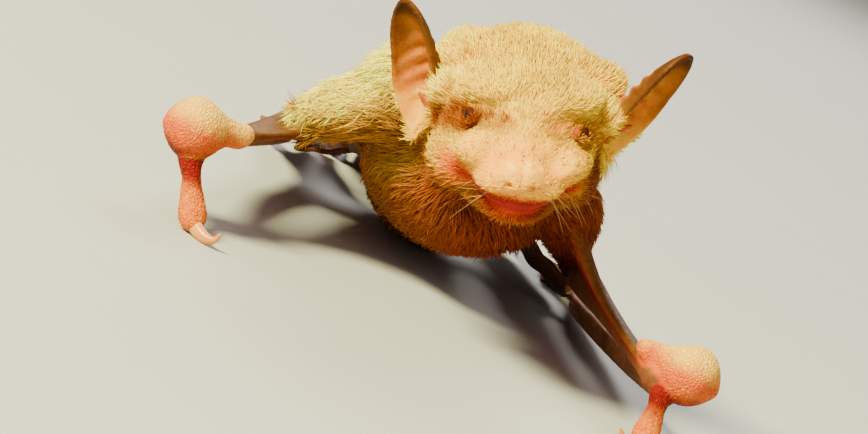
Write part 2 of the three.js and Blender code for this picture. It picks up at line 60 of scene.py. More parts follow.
# ---- Landmarks, in millimetres, from the frame --------------------------------------------------


def node_box(node):
    low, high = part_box(node)
    return np.array(low) / MM, np.array(high) / MM


def node_centre(node):
    low, high = node_box(node)
    return (low + high) / 2


TAIL_END = 52.0
tail_low, tail_high = node_box("tail")
SHIFT = np.array([(tail_low[0] + tail_high[0]) / 2, tail_high[1] - TAIL_END, 0])
EYE_AT = np.array([3.5, -4.3, 1.3])
NOSE_AT = np.array([0, -8.0, -0.55])
HEAD = 1.03


def body_point(x, y, z):
    """A point given from the middle of the body, in the row frame."""
    return np.array([x, y, z], float) + SHIFT


eyes = {name: node_centre(f"eye_{name}") for name in SIDES}
HEAD_X = eyes["left"] - eyes["right"]
HEAD_X /= np.linalg.norm(HEAD_X)
eye_middle = (eyes["left"] + eyes["right"]) / 2
snout = node_centre("nose") - eye_middle
snout /= np.linalg.norm(snout)
aside = np.cross(HEAD_X, snout)
reach = NOSE_AT - EYE_AT * [0, 1, 1]
reach /= np.linalg.norm(reach)
HEAD_Y = reach[1] * snout - reach[2] * aside
HEAD_Z = reach[2] * snout + reach[1] * aside
HEAD_AXES = np.array([HEAD_X, HEAD_Y, HEAD_Z])
HEAD_AT = eye_middle - (EYE_AT * [0, 1, 1]) @ HEAD_AXES


def from_head(points):
    """Points of the head's own frame (left, back, up), in the row frame."""
    return np.asarray(points, float) @ HEAD_AXES + HEAD_AT


def to_head(points):
    return (np.asarray(points, float) - HEAD_AT) @ HEAD_AXES.T


# ---- Closed surfaces ----------------------------------------------------------------------------


def smooth_curve(stations, shares):
    """Points at those shares of a smooth curve through three or more stations, which begin with a place."""
    known = np.asarray(stations, float)
    reached = np.r_[0, np.cumsum(np.linalg.norm(np.diff(known[:, :3], axis=0), axis=1))]
    slopes = np.gradient(known, reached, axis=0)
    at = shares * reached[-1]
    i = np.clip(np.searchsorted(reached, at, "right") - 1, 0, len(known) - 2)
    step = (reached[i + 1] - reached[i])[:, None]
    x = (at[:, None] - reached[i][:, None]) / step
    start, end = known[i], known[i + 1]
    out, back = slopes[i] * step, slopes[i + 1] * step
    leaving = (2 * x**3 - 3 * x**2 + 1) * start + (x**3 - 2 * x**2 + x) * out
    return leaving + (3 * x**2 - 2 * x**3) * end + (x**3 - x**2) * back


def unit(v):
    return v / np.maximum(np.linalg.norm(v, axis=-1, keepdims=True), 1e-9)


def ring_faces(rings, size):
    """Triangles between each ring of points and the next."""
    a = np.arange(size)
    b = (a + 1) % size
    base = (np.arange(rings - 1) * size)[:, None]
    quads = np.stack([a + base, b + base, b + base + size, a + base + size], -1).reshape(-1, 4)
    return np.vstack([quads[:, [0, 1, 2]], quads[:, [0, 2, 3]]])


def closed_faces(rings, sides):
    """Triangles of a row of rings, closed at each end by a point. The two points come after the rings."""
    a = np.arange(sides)
    b = (a + 1) % sides
    start = rings * sides
    last = start - sides
    first_cap = np.stack([np.full(sides, start), b, a], -1)
    last_cap = np.stack([np.full(sides, start + 1), last + a, last + b], -1)
    return np.vstack([ring_faces(rings, sides), first_cap, last_cap])


def outward(points, faces):
    corners = points[faces]
    volume = np.einsum("ij,ij->i", corners[:, 0], np.cross(corners[:, 1], corners[:, 2])).sum()
    return points, faces if volume > 0 else faces[:, ::-1]


def loft(stations, sides=40, rings=60, up=(0, 0, 1)):
    """A rounded body along a smooth line.

    A station is x, y, z, half width, height above the line and depth below it. The last two may be left out.
    """
    full = [tuple(s) + (s[3],) * (6 - len(s)) for s in stations]
    full = [s[:3] + tuple(r * r for r in s[3:]) for s in full]
    share = (1 - np.cos(np.pi * np.arange(1, rings + 1) / (rings + 1))) / 2
    rows = smooth_curve(full, share)
    line, radii = rows[:, :3], np.sqrt(np.maximum(rows[:, 3:], 0))
    ends = smooth_curve(full, np.array([0.0, 1.0]))[:, :3]
    forward = unit(np.gradient(np.vstack([ends[:1], line, ends[1:]]), axis=0)[1:-1])
    across = unit(np.cross(forward, np.array(up, float)))
    top = np.cross(across, forward)
    length = np.linalg.norm(np.diff(line, axis=0), axis=1).sum()
    to_end = np.minimum(share, 1 - share) * length / np.maximum(radii[:, 0], 1e-6)
    cap = np.where(to_end < 1, np.sqrt(np.maximum(1 - (1 - np.minimum(to_end, 1)) ** 2, 0)), 1)[:, None]
    angle = 2 * np.pi * np.arange(sides) / sides
    height = np.where(np.sin(angle) > 0, radii[:, 1:2], radii[:, 2:3]) * np.sin(angle)
    width = radii[:, :1] * np.cos(angle)
    wall = line[:, None] + across[:, None] * (cap * width)[..., None]
    wall = wall + top[:, None] * (cap * height)[..., None]
    return outward(np.vstack([wall.reshape(-1, 3), ends]), closed_faces(rings, sides))


def ball(centre, radii, axes=np.eye(3), sides=40, rings=24):
    angle = 2 * np.pi * np.arange(sides) / sides
    tilt = np.pi * np.arange(1, rings) / rings
    out, up = np.sin(tilt), np.cos(tilt)
    wall = [np.outer(out, np.cos(angle)), np.outer(out, np.sin(angle)), np.outer(up, np.ones(sides))]
    points = np.vstack([np.stack(wall, -1).reshape(-1, 3), [[0, 0, 1], [0, 0, -1]]])
    return outward(points * radii @ np.asarray(axes, float) + centre, closed_faces(rings - 1, sides))


def sheet(place, thick, across, along):
    """A thin closed sheet. place(u, v) gives its middle surface, for u across and v along from 0 to 1."""
    v, u = np.meshgrid(np.linspace(0, 1, along + 1), np.linspace(0, 1, across + 1), indexing="ij")
    step = 1e-3
    du = place(np.minimum(u + step, 1), v) - place(np.maximum(u - step, 0), v)
    dv = place(u, np.minimum(v + step, 1)) - place(u, np.maximum(v - step, 0))
    depth = np.broadcast_to(thick(u, v) if callable(thick) else thick, u.shape)
    half = unit(np.cross(du, dv)) * (depth / 2)[..., None]
    middle = place(u, v)
    rows = np.concatenate([middle + half, (middle - half)[:, ::-1]], axis=1)
    size = 2 * (across + 1)
    faces = [ring_faces(along + 1, size)]
    i = np.arange(across)
    for start, order in ((0, (0, 2, 1, 0, 3, 2)), (along * size, (0, 1, 2, 0, 2, 3))):
        corner = [start + i, start + i + 1, start + size - 2 - i, start + size - 1 - i]
        faces += [np.stack([corner[k] for k in order[:3]], -1), np.stack([corner[k] for k in order[3:]], -1)]
    return outward(rows.reshape(-1, 3), np.vstack(faces))


# ---- Noise --------------------------------------------------------------------------------------


def lattice(i, j, k, seed):
    n = (i * 374761393 + j * 668265263 + k * 2147483647 + seed * 974634777) & 0xFFFFFFFF
    n = ((n ^ (n >> 13)) * 1274126177) & 0xFFFFFFFF
    return ((n ^ (n >> 16)) & 0xFFFF) / 32767.5 - 1


def cell_corners(f):
    """Each corner of a cell, 0 or 1 along each axis, with its weight at f within the cell."""
    for corner in np.ndindex(2, 2, 2):
        yield corner, np.prod([f[..., d] if on else 1 - f[..., d] for d, on in enumerate(corner)], axis=0)


def noise(points, size, seed):
    """Smooth noise from -1 to 1, with features of about that size."""
    p = np.asarray(points, float) / size
    cell = np.floor(p).astype(np.int64)
    f = p - cell
    f = f * f * (3 - 2 * f)
    total = 0
    for (a, b, c), weight in cell_corners(f):
        total = total + weight * lattice(cell[..., 0] + a, cell[..., 1] + b, cell[..., 2] + c, seed)
    return total


def ease(x, low, high):
    x = np.clip((x - low) / (high - low), 0, 1)
    return x * x * (3 - 2 * x)


# ---- The flesh as steps, and grids of distances -------------------------------------------------

BAND = 1.6
steps = []  # (kind, surface, blend, how far under the surface the skin lies); a cut has no kind


def add(kind, surface, blend=0.5, inside=0.0):
    steps.append((kind, surface, blend, inside))


def cut(surface, blend):
    steps.append((None, surface, blend, 0.0))


def smooth_union(a, b, blend):
    h = np.clip(0.5 + 0.5 * (b - a) / blend, 0, 1)
    return b * (1 - h) + a * h - blend * h * (1 - h)


class Field:
    """Distances to the skin, negative inside, in the cells of one box."""

    def __init__(self, low, high, cell):
        self.cell = cell
        self.low = np.floor(np.array(low) / cell).astype(int)
        self.high = np.ceil(np.array(high) / cell).astype(int)
        self.values = np.full(self.high - self.low + 1, BAND, np.float32)
        self.stored = {}

    def distances(self, surface):
        """The lowest cell of a surface's own box and the distances in it, or None if it lies outside."""
        points, faces = surface
        low = np.maximum(np.floor((points.min(0) - BAND) / self.cell).astype(int), self.low)
        high = np.minimum(np.ceil((points.max(0) + BAND) / self.cell).astype(int), self.high)
        if np.any(high <= low):
            return None
        level = openvdb.FloatGrid.createLevelSetFromPolygons(
            np.ascontiguousarray(points, np.float32),
            triangles=np.ascontiguousarray(faces, np.uint32),
            transform=openvdb.createLinearTransform(self.cell),
            halfWidth=BAND / self.cell,
        )
        values = np.empty(high - low + 1, np.float32)
        level.copyToArray(values, ijk=tuple(int(n) for n in low))
        return low, values

    def places(self, low, shape):
        axes = [(np.arange(n) + start) * self.cell for n, start in zip(shape, low)]
        return np.stack(np.meshgrid(*axes, indexing="ij"), -1)

    def run(self, keep_kinds=False, leave_out=()):
        """Works through the steps, then flattens what would go under the floor."""
        for kind, surface, blend, inside in steps:
            if kind in leave_out:
                continue
            found = self.distances(surface)
            if found is None:
                continue
            low, values = found
            if callable(inside):
                values = values + inside(self.places(low, values.shape)).astype(np.float32)
            elif inside:
                values = values + np.float32(inside)
            part = tuple(slice(a, a + n) for a, n in zip(low - self.low, values.shape))
            if kind is None:
                self.values[part] = -smooth_union(-self.values[part], values, blend)
            else:
                self.values[part] = smooth_union(self.values[part], values, blend)
                if keep_kinds:
                    self.stored.setdefault(kind, []).append((low, values))
        height = ((np.arange(self.values.shape[2]) + self.low[2]) * self.cell).astype(np.float32)
        self.values[:] = np.maximum(self.values, FLOOR_GAP - height[None, None, :])
        return self

    def read(self, points, low=None, values=None):
        """Distances at points, read between cells, and BAND outside the box."""
        low, values = (self.low, self.values) if values is None else (low, values)
        at = np.asarray(points) / self.cell - low
        inside = np.all((at >= 0) & (at < np.array(values.shape) - 1), axis=1)
        out = np.full(len(at), BAND)
        at = at[inside]
        cell = at.astype(int)
        f = at - cell
        total = 0
        for (a, b, c), weight in cell_corners(f):
            total = total + weight * values[cell[:, 0] + a, cell[:, 1] + b, cell[:, 2] + c]
        out[inside] = total
        return out

    def near(self, kind, points):
        """Distance from each point to a kind of flesh."""
        return np.min([self.read(points, low, values) for low, values in self.stored[kind]], axis=0)

    def settle(self, points):
        """Moves points that are close to the skin onto it."""
        step = self.cell / 2
        for _ in range(SETTLE_ROUNDS):
            rises = [self.read(points + step * e) - self.read(points - step * e) for e in np.eye(3)]
            slope = np.stack(rises, -1) / self.cell
            size = np.maximum((slope**2).sum(1), 0.2)
            move = -slope * (self.read(points) / size)[:, None]
            points = points + np.clip(move, -self.cell, self.cell)
        return points


SETTLE_ROUNDS = 3
FLOOR_GAP = 0.01
MARGIN = 1.0
CELL, FACE_CELL = 0.16, 0.08


def box_of(nodes, margin):
    boxes = np.array([node_box(node) for node in nodes])
    return boxes[:, 0].min(0) - margin, boxes[:, 1].max(0) + margin


# ---- Head, in its own frame ---------------------------------------------------------------------


def head_loft(stations, scale=1.0, **options):
    rows = [np.array(row, float) * scale for row in stations]
    return loft([(*from_head(row[:3]), *row[3:]) for row in rows], up=HEAD_Z, **options)


def head_ball(centre, radii, turn=np.eye(3), **options):
    return ball(from_head(centre), radii, np.asarray(turn) @ HEAD_AXES, **options)


SKULL = [
    (0, 6.4, -0.4, 0, 0, 0),
    (0, 4.9, -0.2, 3.7, 3.3, 3.4),
    (0, 2.6, 0.0, 5.6, 5.4, 4.6),
    (0, 0.3, 0.0, 6.0, 5.8, 4.9),
    (0, -1.9, -0.1, 5.5, 4.8, 4.7),
    (0, -3.9, -0.3, 4.8, 3.3, 4.0),
    (0, -5.6, -0.5, 4.1, 2.3, 3.2),
    (0, -7.1, -0.7, 3.1, 1.7, 2.4),
    (0, -8.2, -0.8, 1.9, 1.0, 1.5),
    (0, -8.7, -0.9, 0, 0, 0),
]
JAW = [
    (0, -0.2, -3.9, 0, 0, 0),
    (0, -1.6, -3.8, 3.5, 1.2, 1.5),
    (0, -4.0, -3.6, 3.1, 1.1, 1.4),
    (0, -6.2, -3.2, 2.3, 0.9, 1.2),
    (0, -7.7, -2.9, 0, 0, 0),
]
EAR_BASE = {"left": np.array([5.55, -1.4, -1.2]), "right": np.array([-5.5, -1.4, -1.75])}
EAR = 8.9
EAR_SPLAY = {"left": 30, "right": 24}
EAR_NOD = {"left": 4, "right": -10}
EAR_FUR_TOP = {"left": 3.0, "right": 5.0}  # how high the fur climbs the back of the ear
EAR_FUR_AT = {"left": (4.9, 0.2, 2.3), "right": (-4.2, 0.2, 3.1)}  # a furry bump at the ear's inner base
LID_OPENING = np.array([0.36, 0.1, 0.8])
GAZE = np.array([0.72, -0.58, 0.38])
HEAD_LUMPS = [  # on the left: centre, radii, blend, and how far under it the skin lies; a hollow has none
    ((3.5, -2.6, -2.4), (2.1, 2.6, 1.9), 0.9, 0.2),  # cheek
    ((2.3, -2.7, 3.1), (2.3, 1.9, 1.2), 0.8, 0.2),  # brow
    ((5.0, -1.7, 1.3), (1.0, 1.1, 1.5), 0.5, 0.25),  # lobe in front of the ear
    ((3.1, -5.5, 2.1), (2.3, 1.2, 0.8), 0.5, None),  # between brow and muzzle
    ((2.7, -5.85, 0.1), (1.75, 1.6, 1.25), 0.35, 0.04),  # gland
    ((1.5, -7.0, -1.35), (1.3, 1.25, 0.8), 0.4, 0.05),  # upper lip
    ((2.1, -7.9, 0.9), (0.9, 1.1, 1.1), 0.6, None),  # between gland and nose
]


def head_depth(points):
    """How deep the coat is over the head: least on the muzzle, most on the crown."""
    back = to_head(points)[..., 1]
    return 0.1 + 0.32 * ease(back, -6.5, -1.5)


def turned(direction, roll=0.0):
    """Axes whose third one points along the direction, as rows: across, up, along."""
    along = unit(np.array(direction, float))
    across = unit(np.cross([0, 0, 1], along))
    up = np.cross(along, across)
    c, s = math.cos(math.radians(roll)), math.sin(math.radians(roll))
    return np.array([c * across + s * up, -s * across + c * up, along])


def add_skull():
    add("head", head_loft(SKULL, HEAD, sides=64, rings=90), 0.1, head_depth)
    add("head", head_loft(JAW, HEAD, sides=48, rings=60), 0.9, 0.25)
    for bump in EAR_FUR_AT.values():
        add("head", head_ball(bump, (1.9, 1.6, 2.2)), 1.3, 0.4)
    for side in SIDES.values():
        for (x, y, z), radii, blend, inside in HEAD_LUMPS:
            lump = head_ball((side * x, y, z), radii)
            if inside is None:
                cut(lump, blend)
            else:
                add("head", lump, blend, inside)
    bridge = [(0, -4.6, 1.6, 0.8), (0, -6.2, 0.9, 0.7, 0.65, 0.8), (0, -7.6, 0.1, 0.6, 0.5, 0.7)]
    add("head", head_loft(bridge), 0.6, 0.05)


def add_eyes():
    """A hollow on each side, then lids around the eyeball, parted in a short slit."""
    for side in SIDES.values():
        cut(head_ball((side * 4.4, -4.8, 1.5), (1.5, 1.35, 1.1)), 0.5)
    for side in SIDES.values():
        axes = turned(np.array([side, 1, 1]) * GAZE, side * 28)
        at = EYE_AT * [side, 1, 1]
        add("lid", head_ball(at, (0.66, 0.54, 0.58), axes), 0.3)
        for fold, reach_out in ((0.36, 0.1), (-0.34, 0.08)):
            middle = at + axes[1] * fold + axes[2] * (0.42 - reach_out)
            ends = [middle + axes[0] * s - axes[1] * (fold * 0.6) - axes[2] * 0.2 for s in (-0.62, 0.62)]
            add("lid", head_loft([(*ends[0], 0.1), (*middle, 0.14), (*ends[1], 0.1)]), 0.12)
        cut(head_ball(at + axes[2] * 0.55, LID_OPENING, axes), 0.08)


NOSE_LUMPS = [  # aside, up, size
    (-0.85, 0.12, 0.36),
    (0.35, 0.3, 0.3),
    (0.95, -0.05, 0.36),
    (-0.3, -0.1, 0.36),
    (-1.35, -0.45, 0.36),
    (1.4, -0.5, 0.34),
]


def add_nose():
    """Two round lobes with a groove between them, and a nostril low on the outside of each."""
    for side in SIDES.values():
        add("nose", head_ball((side * 0.55, -8.0, -0.2), (0.72, 0.6, 0.62)), 0.35)
        add("nose", head_ball((side * 1.2, -7.85, -0.7), (0.55, 0.5, 0.5)), 0.25)
    add("nose", head_ball((0, -8.0, -0.95), (0.6, 0.6, 0.5)), 0.3)
    for x, z, size in NOSE_LUMPS:
        add("nose", head_ball((x, -8.15 + 0.3 * abs(x), z), (size, size, size)), 0.16)
    for side in SIDES.values():
        hole = [
            (side * 0.45, -7.9, -0.78, 0.12),
            (side * 0.72, -8.5, -0.92, 0.22, 0.13, 0.13),
            (side * 1.2, -9.2, -1.15, 0.26, 0.15, 0.15),
        ]
        cut(head_loft(hole, rings=30), 0.16)
    groove = [(-9.1, 0.1, 0.07), (-9.05, -0.7, 0.08), (-8.9, -1.7, 0.08)]
    cut(head_loft([(0, back, up, wide, 0.1, 0.1) for back, up, wide in groove], rings=30), 0.22)


MOUTH = [(0, -8.15, -2.2), (1.4, -7.8, -2.2), (2.4, -7.2, -1.95), (3.2, -6.2, -1.6), (3.8, -4.8, -1.5)]


def mouth_line(radius, lower, inward):
    """A line along the lips from corner to corner, thinner towards both ends."""
    rows = []
    for x, y, z in [(-x, y, z) for x, y, z in MOUTH[:0:-1]] + MOUTH:
        out = unit(np.array([x, y + 3.5, 0.0]))
        rows.append((*(np.array([x, y, z - lower]) - out * inward), radius * (1 - 0.12 * abs(x))))
    return rows


def add_mouth():
    """The lips meet in a crease; the lower one is the fuller and juts a little."""
    add("head", head_ball((0, -6.4, -3.2), (1.9, 1.5, 0.95)), 0.5, 0.1)
    add("lip", head_loft(mouth_line(0.3, 0.32, 0.42), rings=80, sides=24), 0.25)
    add("head", head_loft(mouth_line(0.34, -0.38, 0.42), rings=80, sides=24), 0.3)
    cut(head_loft(mouth_line(0.1, 0.0, 0.08), rings=90, sides=16), 0.1)


def ear_half_width(v):
    """Widest half way up, with a broad rounded tip."""
    widest = 0.45
    x = np.clip((v - widest) / (1 - widest), 0, 0.99)
    return np.where(v < widest, 1.5 + 0.45 * ease(v, 0, widest), 1.95 * (1 - x**2.4) ** 0.55)


EAR_FACING = math.radians(42)  # how far outwards the ear opens


def ear_axes(side):
    """The way the ear opens, and the line across its opening from the front margin to the outer one."""
    opening = np.array([side * math.sin(EAR_FACING), -math.cos(EAR_FACING), 0])
    return opening, np.array([side * math.cos(EAR_FACING), math.sin(EAR_FACING), 0])


def ear_turn(name):
    nod, lean = math.radians(EAR_NOD[name]), math.radians(SIDES[name] * EAR_SPLAY[name])
    about_x = np.array([[1, 0, 0], [0, math.cos(nod), -math.sin(nod)], [0, math.sin(nod), math.cos(nod)]])
    about_y = np.array([[math.cos(lean), 0, math.sin(lean)], [0, 1, 0], [-math.sin(lean), 0, math.cos(lean)]])
    return about_x @ about_y


EAR_RIDGES, RIDGE_DEPTH = 7.5, 0.13
EAR_CURL = 88, 55  # half the angle that the scoop spans, in degrees, at the base and at the tip


def ear_place(name):
    """The middle surface of a scoop that opens forwards and outwards, crossed by low ridges."""
    side = SIDES[name]
    opening, chord = ear_axes(side)
    turn = ear_turn(name)

    def place(u, v):
        s = 2 * u - 1
        curl = np.radians(between(*EAR_CURL, v))
        radius = ear_half_width(v) * np.where(s < 0, 0.9, 1) / np.sin(curl)
        base = 0.7 - 1.3 * s
        height = base + (EAR - base) * v
        lobe = np.where(s > 0, 0.45 * s * np.sin(np.pi * np.minimum(v * 1.3 + 0.2, 1)), 0)
        wave = RIDGE_DEPTH * np.cos(2 * np.pi * EAR_RIDGES * v) * ease(v, 0.12, 0.25)
        wave = wave * (1 - ease(v, 0.55, 0.8)) * (1 - s**2)
        roll = 0.35 * ease(-s, 0.6, 1) * np.sin(np.pi * v)
        depth = -radius * (np.cos(curl * s) - np.cos(curl)) - 0.5 * v**2 + wave
        local = (
            np.stack([0 * height, 0 * height, height], -1)
            + chord * (radius * np.sin(curl * s) + lobe + roll)[..., None]
            + opening * depth[..., None]
        )
        return from_head(local @ turn.T + EAR_BASE[name])

    return place


def ear_thickness(u, v):
    s = 2 * u - 1
    rim = np.maximum(ease(np.abs(s), 0.85, 0.97), ease(v, 0.93, 0.99))
    return 0.27 + 0.07 * rim + 0.06 * ease(-s, 0.55, 0.85) + 0.3 * (1 - ease(v, 0, 0.2))


TRAGUS = [  # across, out of the ear's opening, up, half width
    (-0.3, -0.1, 0.8, 0.36),
    (-0.35, -0.1, 1.7, 0.42),
    (-0.15, 0.0, 2.5, 0.32),
    (0.1, 0.1, 3.0, 0),
]


def add_ears():
    for name, side in SIDES.items():
        add("ear", sheet(ear_place(name), ear_thickness, 90, 130), 0.45)
        turn = ear_turn(name)
        opening, chord = ear_axes(side)
        rows = []
        for along, out, up, wide in TRAGUS:
            at = turn @ (chord * along + opening * out + [0, 0, up]) + EAR_BASE[name]
            rows.append((*from_head(at), wide, 0.45 * wide, 0.45 * wide))
        add("tragus", loft(rows, up=(turn @ opening) @ HEAD_AXES, rings=50), 0.2)


# ---- Body ---------------------------------------------------------------------------------------

LIFT = 3.1  # how far the chest is raised over a crouch


def raised(stations):
    return [(x, y, z + LIFT * min(max((18 - y) / 20, 0), 1), *oval) for x, y, z, *oval in stations]


TRUNK = [
    (0, 24.0, 3.9, 0, 0, 0),
    (0, 21.0, 4.5, 4.2, 3.5, 4.3),
    (0, 16.0, 5.3, 5.9, 4.9, 6.0),
    (0, 10.0, 6.1, 6.9, 6.0, 6.35),
    (0, 4.0, 6.7, 7.4, 6.5, 6.8),
    (0, 0.0, 7.4, 7.2, 6.1, 6.4),
    (0, -3.0, 8.2, 5.6, 4.2, 5.4),
    (0, -5.2, 8.8, 0, 0, 0),
]
NECK = [
    (0, 3.0, 8.6, 0, 0, 0),
    (0, 0.5, 9.4, 5.9, 5.0, 4.7),
    (0, -4.0, 10.9, 6.2, 5.1, 5.0),
    (0, -8.0, 12.0, 5.6, 4.7, 4.5),
    (0, -10.5, 12.6, 0, 0, 0),
]
TAIL = [
    (0, 21.6, 4.0, 0.9),
    (0, 27.0, 2.5, 0.72),
    (0, 36.0, 1.1, 0.52),
    (0, 45.0, 0.75, 0.4),
    (0, TAIL_END, 0.6, 0.28),
]
FOREARM, UPPER_ARM, PAD = 28.5, 19.0, 2.1
SHOULDER = {"left": (6.2, -2.6, 10.9), "right": (-6.2, -2.4, 10.9)}
WRIST = {"left": (15.0, -14.1, 4.1), "right": (-16.4, -11.2, 6.05)}
PAD_AT = {"left": (17.0, -13.6, 5.35), "right": (-19.0, -12.2, 5.75)}
ELBOW_SIDE = {"left": (0.54, 0.69, -0.57), "right": (0.68, 0.78, -0.49)}
TUG = {"left": 3.2, "right": 1.6}  # how far the pad's narrow end is drawn towards the shoulder
THUMB_LEAN = {"left": (1.25, 0.08), "right": (0.5, 0.55)}  # how far inward a thumb hangs, above and below
MANTLE = [((4.3, -1.6, 14.1), (3.5, 4.2, 3.1)), ((-5.2, -1.2, 13.3), (4.1, 4.8, 3.0))]
CAPE = [  # the furry shoulder that runs out over the right upper arm
    (-4.0, -1.0, 12.6, 3.2, 3.2, 3.2),
    (-6.6, -1.6, 12.0, 3.4, 3.0, 3.2),
    (-9.2, -2.1, 10.4, 3.1, 2.3, 2.8),
    (-11.6, -2.6, 8.8, 2.4, 1.4, 2.0),
    (-13.2, -3.0, 7.9, 0, 0, 0),
]
HIP, KNEE, ANKLE = (2.8, 17.5, 5.0), (8.4, 21.5, 6.6), (5.8, 31.9, 1.9)


def body_loft(stations, **options):
    return loft([(*body_point(*row[:3]), *row[3:]) for row in stations], **options)


def between(a, b, share):
    return a + (b - a) * share


class Arm:
    """One arm's joints in the row frame, with its elbow worked out from its two lengths."""

    def __init__(self, name):
        self.side = SIDES[name]
        self.shoulder, self.wrist, self.pad = (body_point(*at[name]) for at in (SHOULDER, WRIST, PAD_AT))
        self.tug, self.lean = TUG[name], THUMB_LEAN[name]
        span = np.linalg.norm(self.wrist - self.shoulder)
        to_wrist = (self.wrist - self.shoulder) / span
        along = (UPPER_ARM**2 + span**2 - FOREARM**2) / (2 * span)
        hint = np.array(ELBOW_SIDE[name]) * [self.side, 1, 1]
        hint = unit(hint - to_wrist * (hint @ to_wrist))
        self.elbow = self.shoulder + to_wrist * along + hint * math.sqrt(UPPER_ARM**2 - along**2)

    def beside(self, x, y, z):
        return self.wrist + [self.side * x, y, z]

    def in_pad(self, x, y, z):
        return self.pad + [self.side * x, y, z]

    def in_thumb(self, y, z, further=0.0):
        """A point of the hanging thumb at that height, further inward if so given."""
        inward = self.lean[0] + self.lean[1] * (self.pad[2] - 1.6 - z) + further
        return np.array([self.pad[0] - self.side * inward, self.pad[1] + y, z])

    def finger(self, number):
        """The folded fingers from the middle one (2) to the last (0): points from wrist to tip."""
        side = self.side
        start = self.beside(0.75 + 0.45 * number, 1.2, -0.1 - 0.42 * number)
        knuckle = self.elbow + [side * (1.3 + 0.9 * number), 0.6 * number - 1.2, 0]
        knuckle[2] = max(self.elbow[2] - 2.2 - 1.15 * number, 1.0)
        middle = between(start, knuckle, 0.5) + [side * 0.3, 0, -0.4]
        joint = np.array([knuckle[0] + side * 0.5, knuckle[1] + 7.5 + number, between(knuckle[2], 0.8, 0.55)])
        tip = np.array([SHIFT[0] + side * (11.9 + 0.25 * number), knuckle[1] + 9.6 + 2.8 * number, 0.75])
        return np.array([start, middle, knuckle, joint, tip])


arms = {name: Arm(name) for name in SIDES}


def line_at(stations, share):
    """Points of a smooth line at each share of its length, whatever the share's shape."""
    flat = np.clip(np.ravel(share), 0, 1)
    return smooth_curve(stations, flat).reshape(*np.shape(share), -1)


def add_trunk():
    add("trunk", body_loft(raised(TRUNK), sides=64, rings=90), 0.1, 0.6)
    add("neck", body_loft(raised(NECK), sides=64, rings=60), 1.6, 0.65)
    for at, size in MANTLE:
        add("neck", ball(body_point(*at), size), 1.6, 0.6)
    add("neck", body_loft(CAPE), 1.6, 0.5)
    add("tail", body_loft(TAIL, sides=24, rings=160), 0.8)


def add_arm(arm):
    elbow, wrist = arm.elbow, arm.wrist
    upper = [(-0.06, 2.5), (0.25, 2.9), (0.65, 2.2), (1, 1.15)]
    add("upper_arm", loft([(*between(arm.shoulder, elbow, s), r) for s, r in upper]), 1.2, 0.7)
    lower = [(-0.03, 0.9), (0.06, 1.05), (0.2, 1.1), (0.4, 0.85), (0.75, 0.6), (0.93, 0.66), (1, 0.8)]
    add("forearm", loft([(*between(elbow, wrist, s), r) for s, r in lower], rings=110, sides=32), 0.5)
    for number, thick in ((2, 0.42), (1, 0.38), (0, 0.36)):
        share = np.linspace(0, 1, 25)
        knob = sum(np.exp(-(((share - at) / 0.03) ** 2)) for at in (0.02, 0.52, 0.76))
        radius = thick * np.linspace(1, 0.5, 25) + 0.16 * knob
        bone = np.column_stack([line_at(arm.finger(number), share), radius])
        add("hand", loft(bone, sides=20, rings=200), 0.3)
    add("hand", sheet(hand_place(arm), 0.34, 60, 150), 0.25)


def hand_place(arm):
    lines = [arm.finger(number) for number in (0, 1, 2)]

    def place(u, v):
        along = 0.01 + 0.98 * v
        points = [line_at(line, along) for line in lines]
        share = 2 * u - np.minimum(np.floor(2 * u), 1)
        near_side = np.where((u < 0.5)[..., None], points[0], points[1])
        far_side = np.where((u < 0.5)[..., None], points[1], points[2])
        pleat = -0.45 * np.sin(np.pi * share) + 0.12 * np.sin(3 * np.pi * share)
        return between(near_side, far_side, share[..., None]) + pleat[..., None] * [0.25 * arm.side, 0, 1]

    return place


HANGING = (0, -1, 0.3)  # the upper face of what hangs from a pad


def add_thumb(arm):
    narrow_end = arm.wrist + unit(arm.shoulder - arm.wrist) * arm.tug
    pad = [
        (narrow_end, 0.45),
        (between(narrow_end, arm.pad, 0.55), 0.55 * PAD),
        (arm.pad, PAD),
        (arm.in_pad(1.35, -0.35, -0.2), 0.78 * PAD),
        (arm.in_pad(2.05, -0.55, -0.3), 0.0),
    ]
    add("pad", loft([(*at, r) for at, r in pad], sides=56, rings=70), 0.6)
    thumb = [
        (arm.in_thumb(-0.4, arm.pad[2] - 1.4), 0.95),
        (arm.in_thumb(-1.4, arm.pad[2] - 2.75), 0.62),
        (arm.in_thumb(-2.1, (arm.pad[2] - 1.7) / 2), 0.78),
        (arm.in_thumb(-2.7, 1.02), 0.92),
        (arm.in_thumb(-3.6, 0.58), 0.5),
    ]
    add("thumb", loft([(*at, r) for at, r in thumb], sides=48, rings=90, up=HANGING), 0.4)


def add_front_membrane(arm):
    """The skin in front of the elbow, from upper arm to forearm, thick with fur near the shoulder."""

    def place(u, v):
        edge = 0.28 + 0.69 * v
        edge = (edge * (1 - 0.1 * np.sin(np.pi * u) * v))[..., None]
        inner = between(arm.elbow, arm.shoulder, edge)
        outer = between(arm.elbow, arm.wrist, edge)
        sag = -0.7 * np.sin(np.pi * u) * v
        return between(inner, outer, u[..., None]) + sag[..., None] * UP

    add("front", sheet(place, lambda u, v: 0.34 + 1.0 * v * np.maximum(1 - u / 0.7, 0) ** 0.8, 90, 90), 0.7)
    edge = [(*place(np.array(u), np.array(1.0)), 0.26) for u in np.linspace(0.05, 1, 12)]
    add("front", loft(edge, rings=120, sides=20), 0.3)


def pleated(inner, outer, pleats, depth, sag):
    """The slack skin between two lines of body points, in soft pleats that run along it."""

    def place(u, v):
        a, b = line_at(inner, v), line_at(outer, v)
        wave = depth * np.sin(2 * np.pi * pleats * u) * np.sin(np.pi * u) - sag * np.sin(np.pi * u)
        wave = wave * np.sin(np.pi * (0.15 + 0.7 * v))
        return between(a, b, u[..., None]) + wave[..., None] * UP

    return place


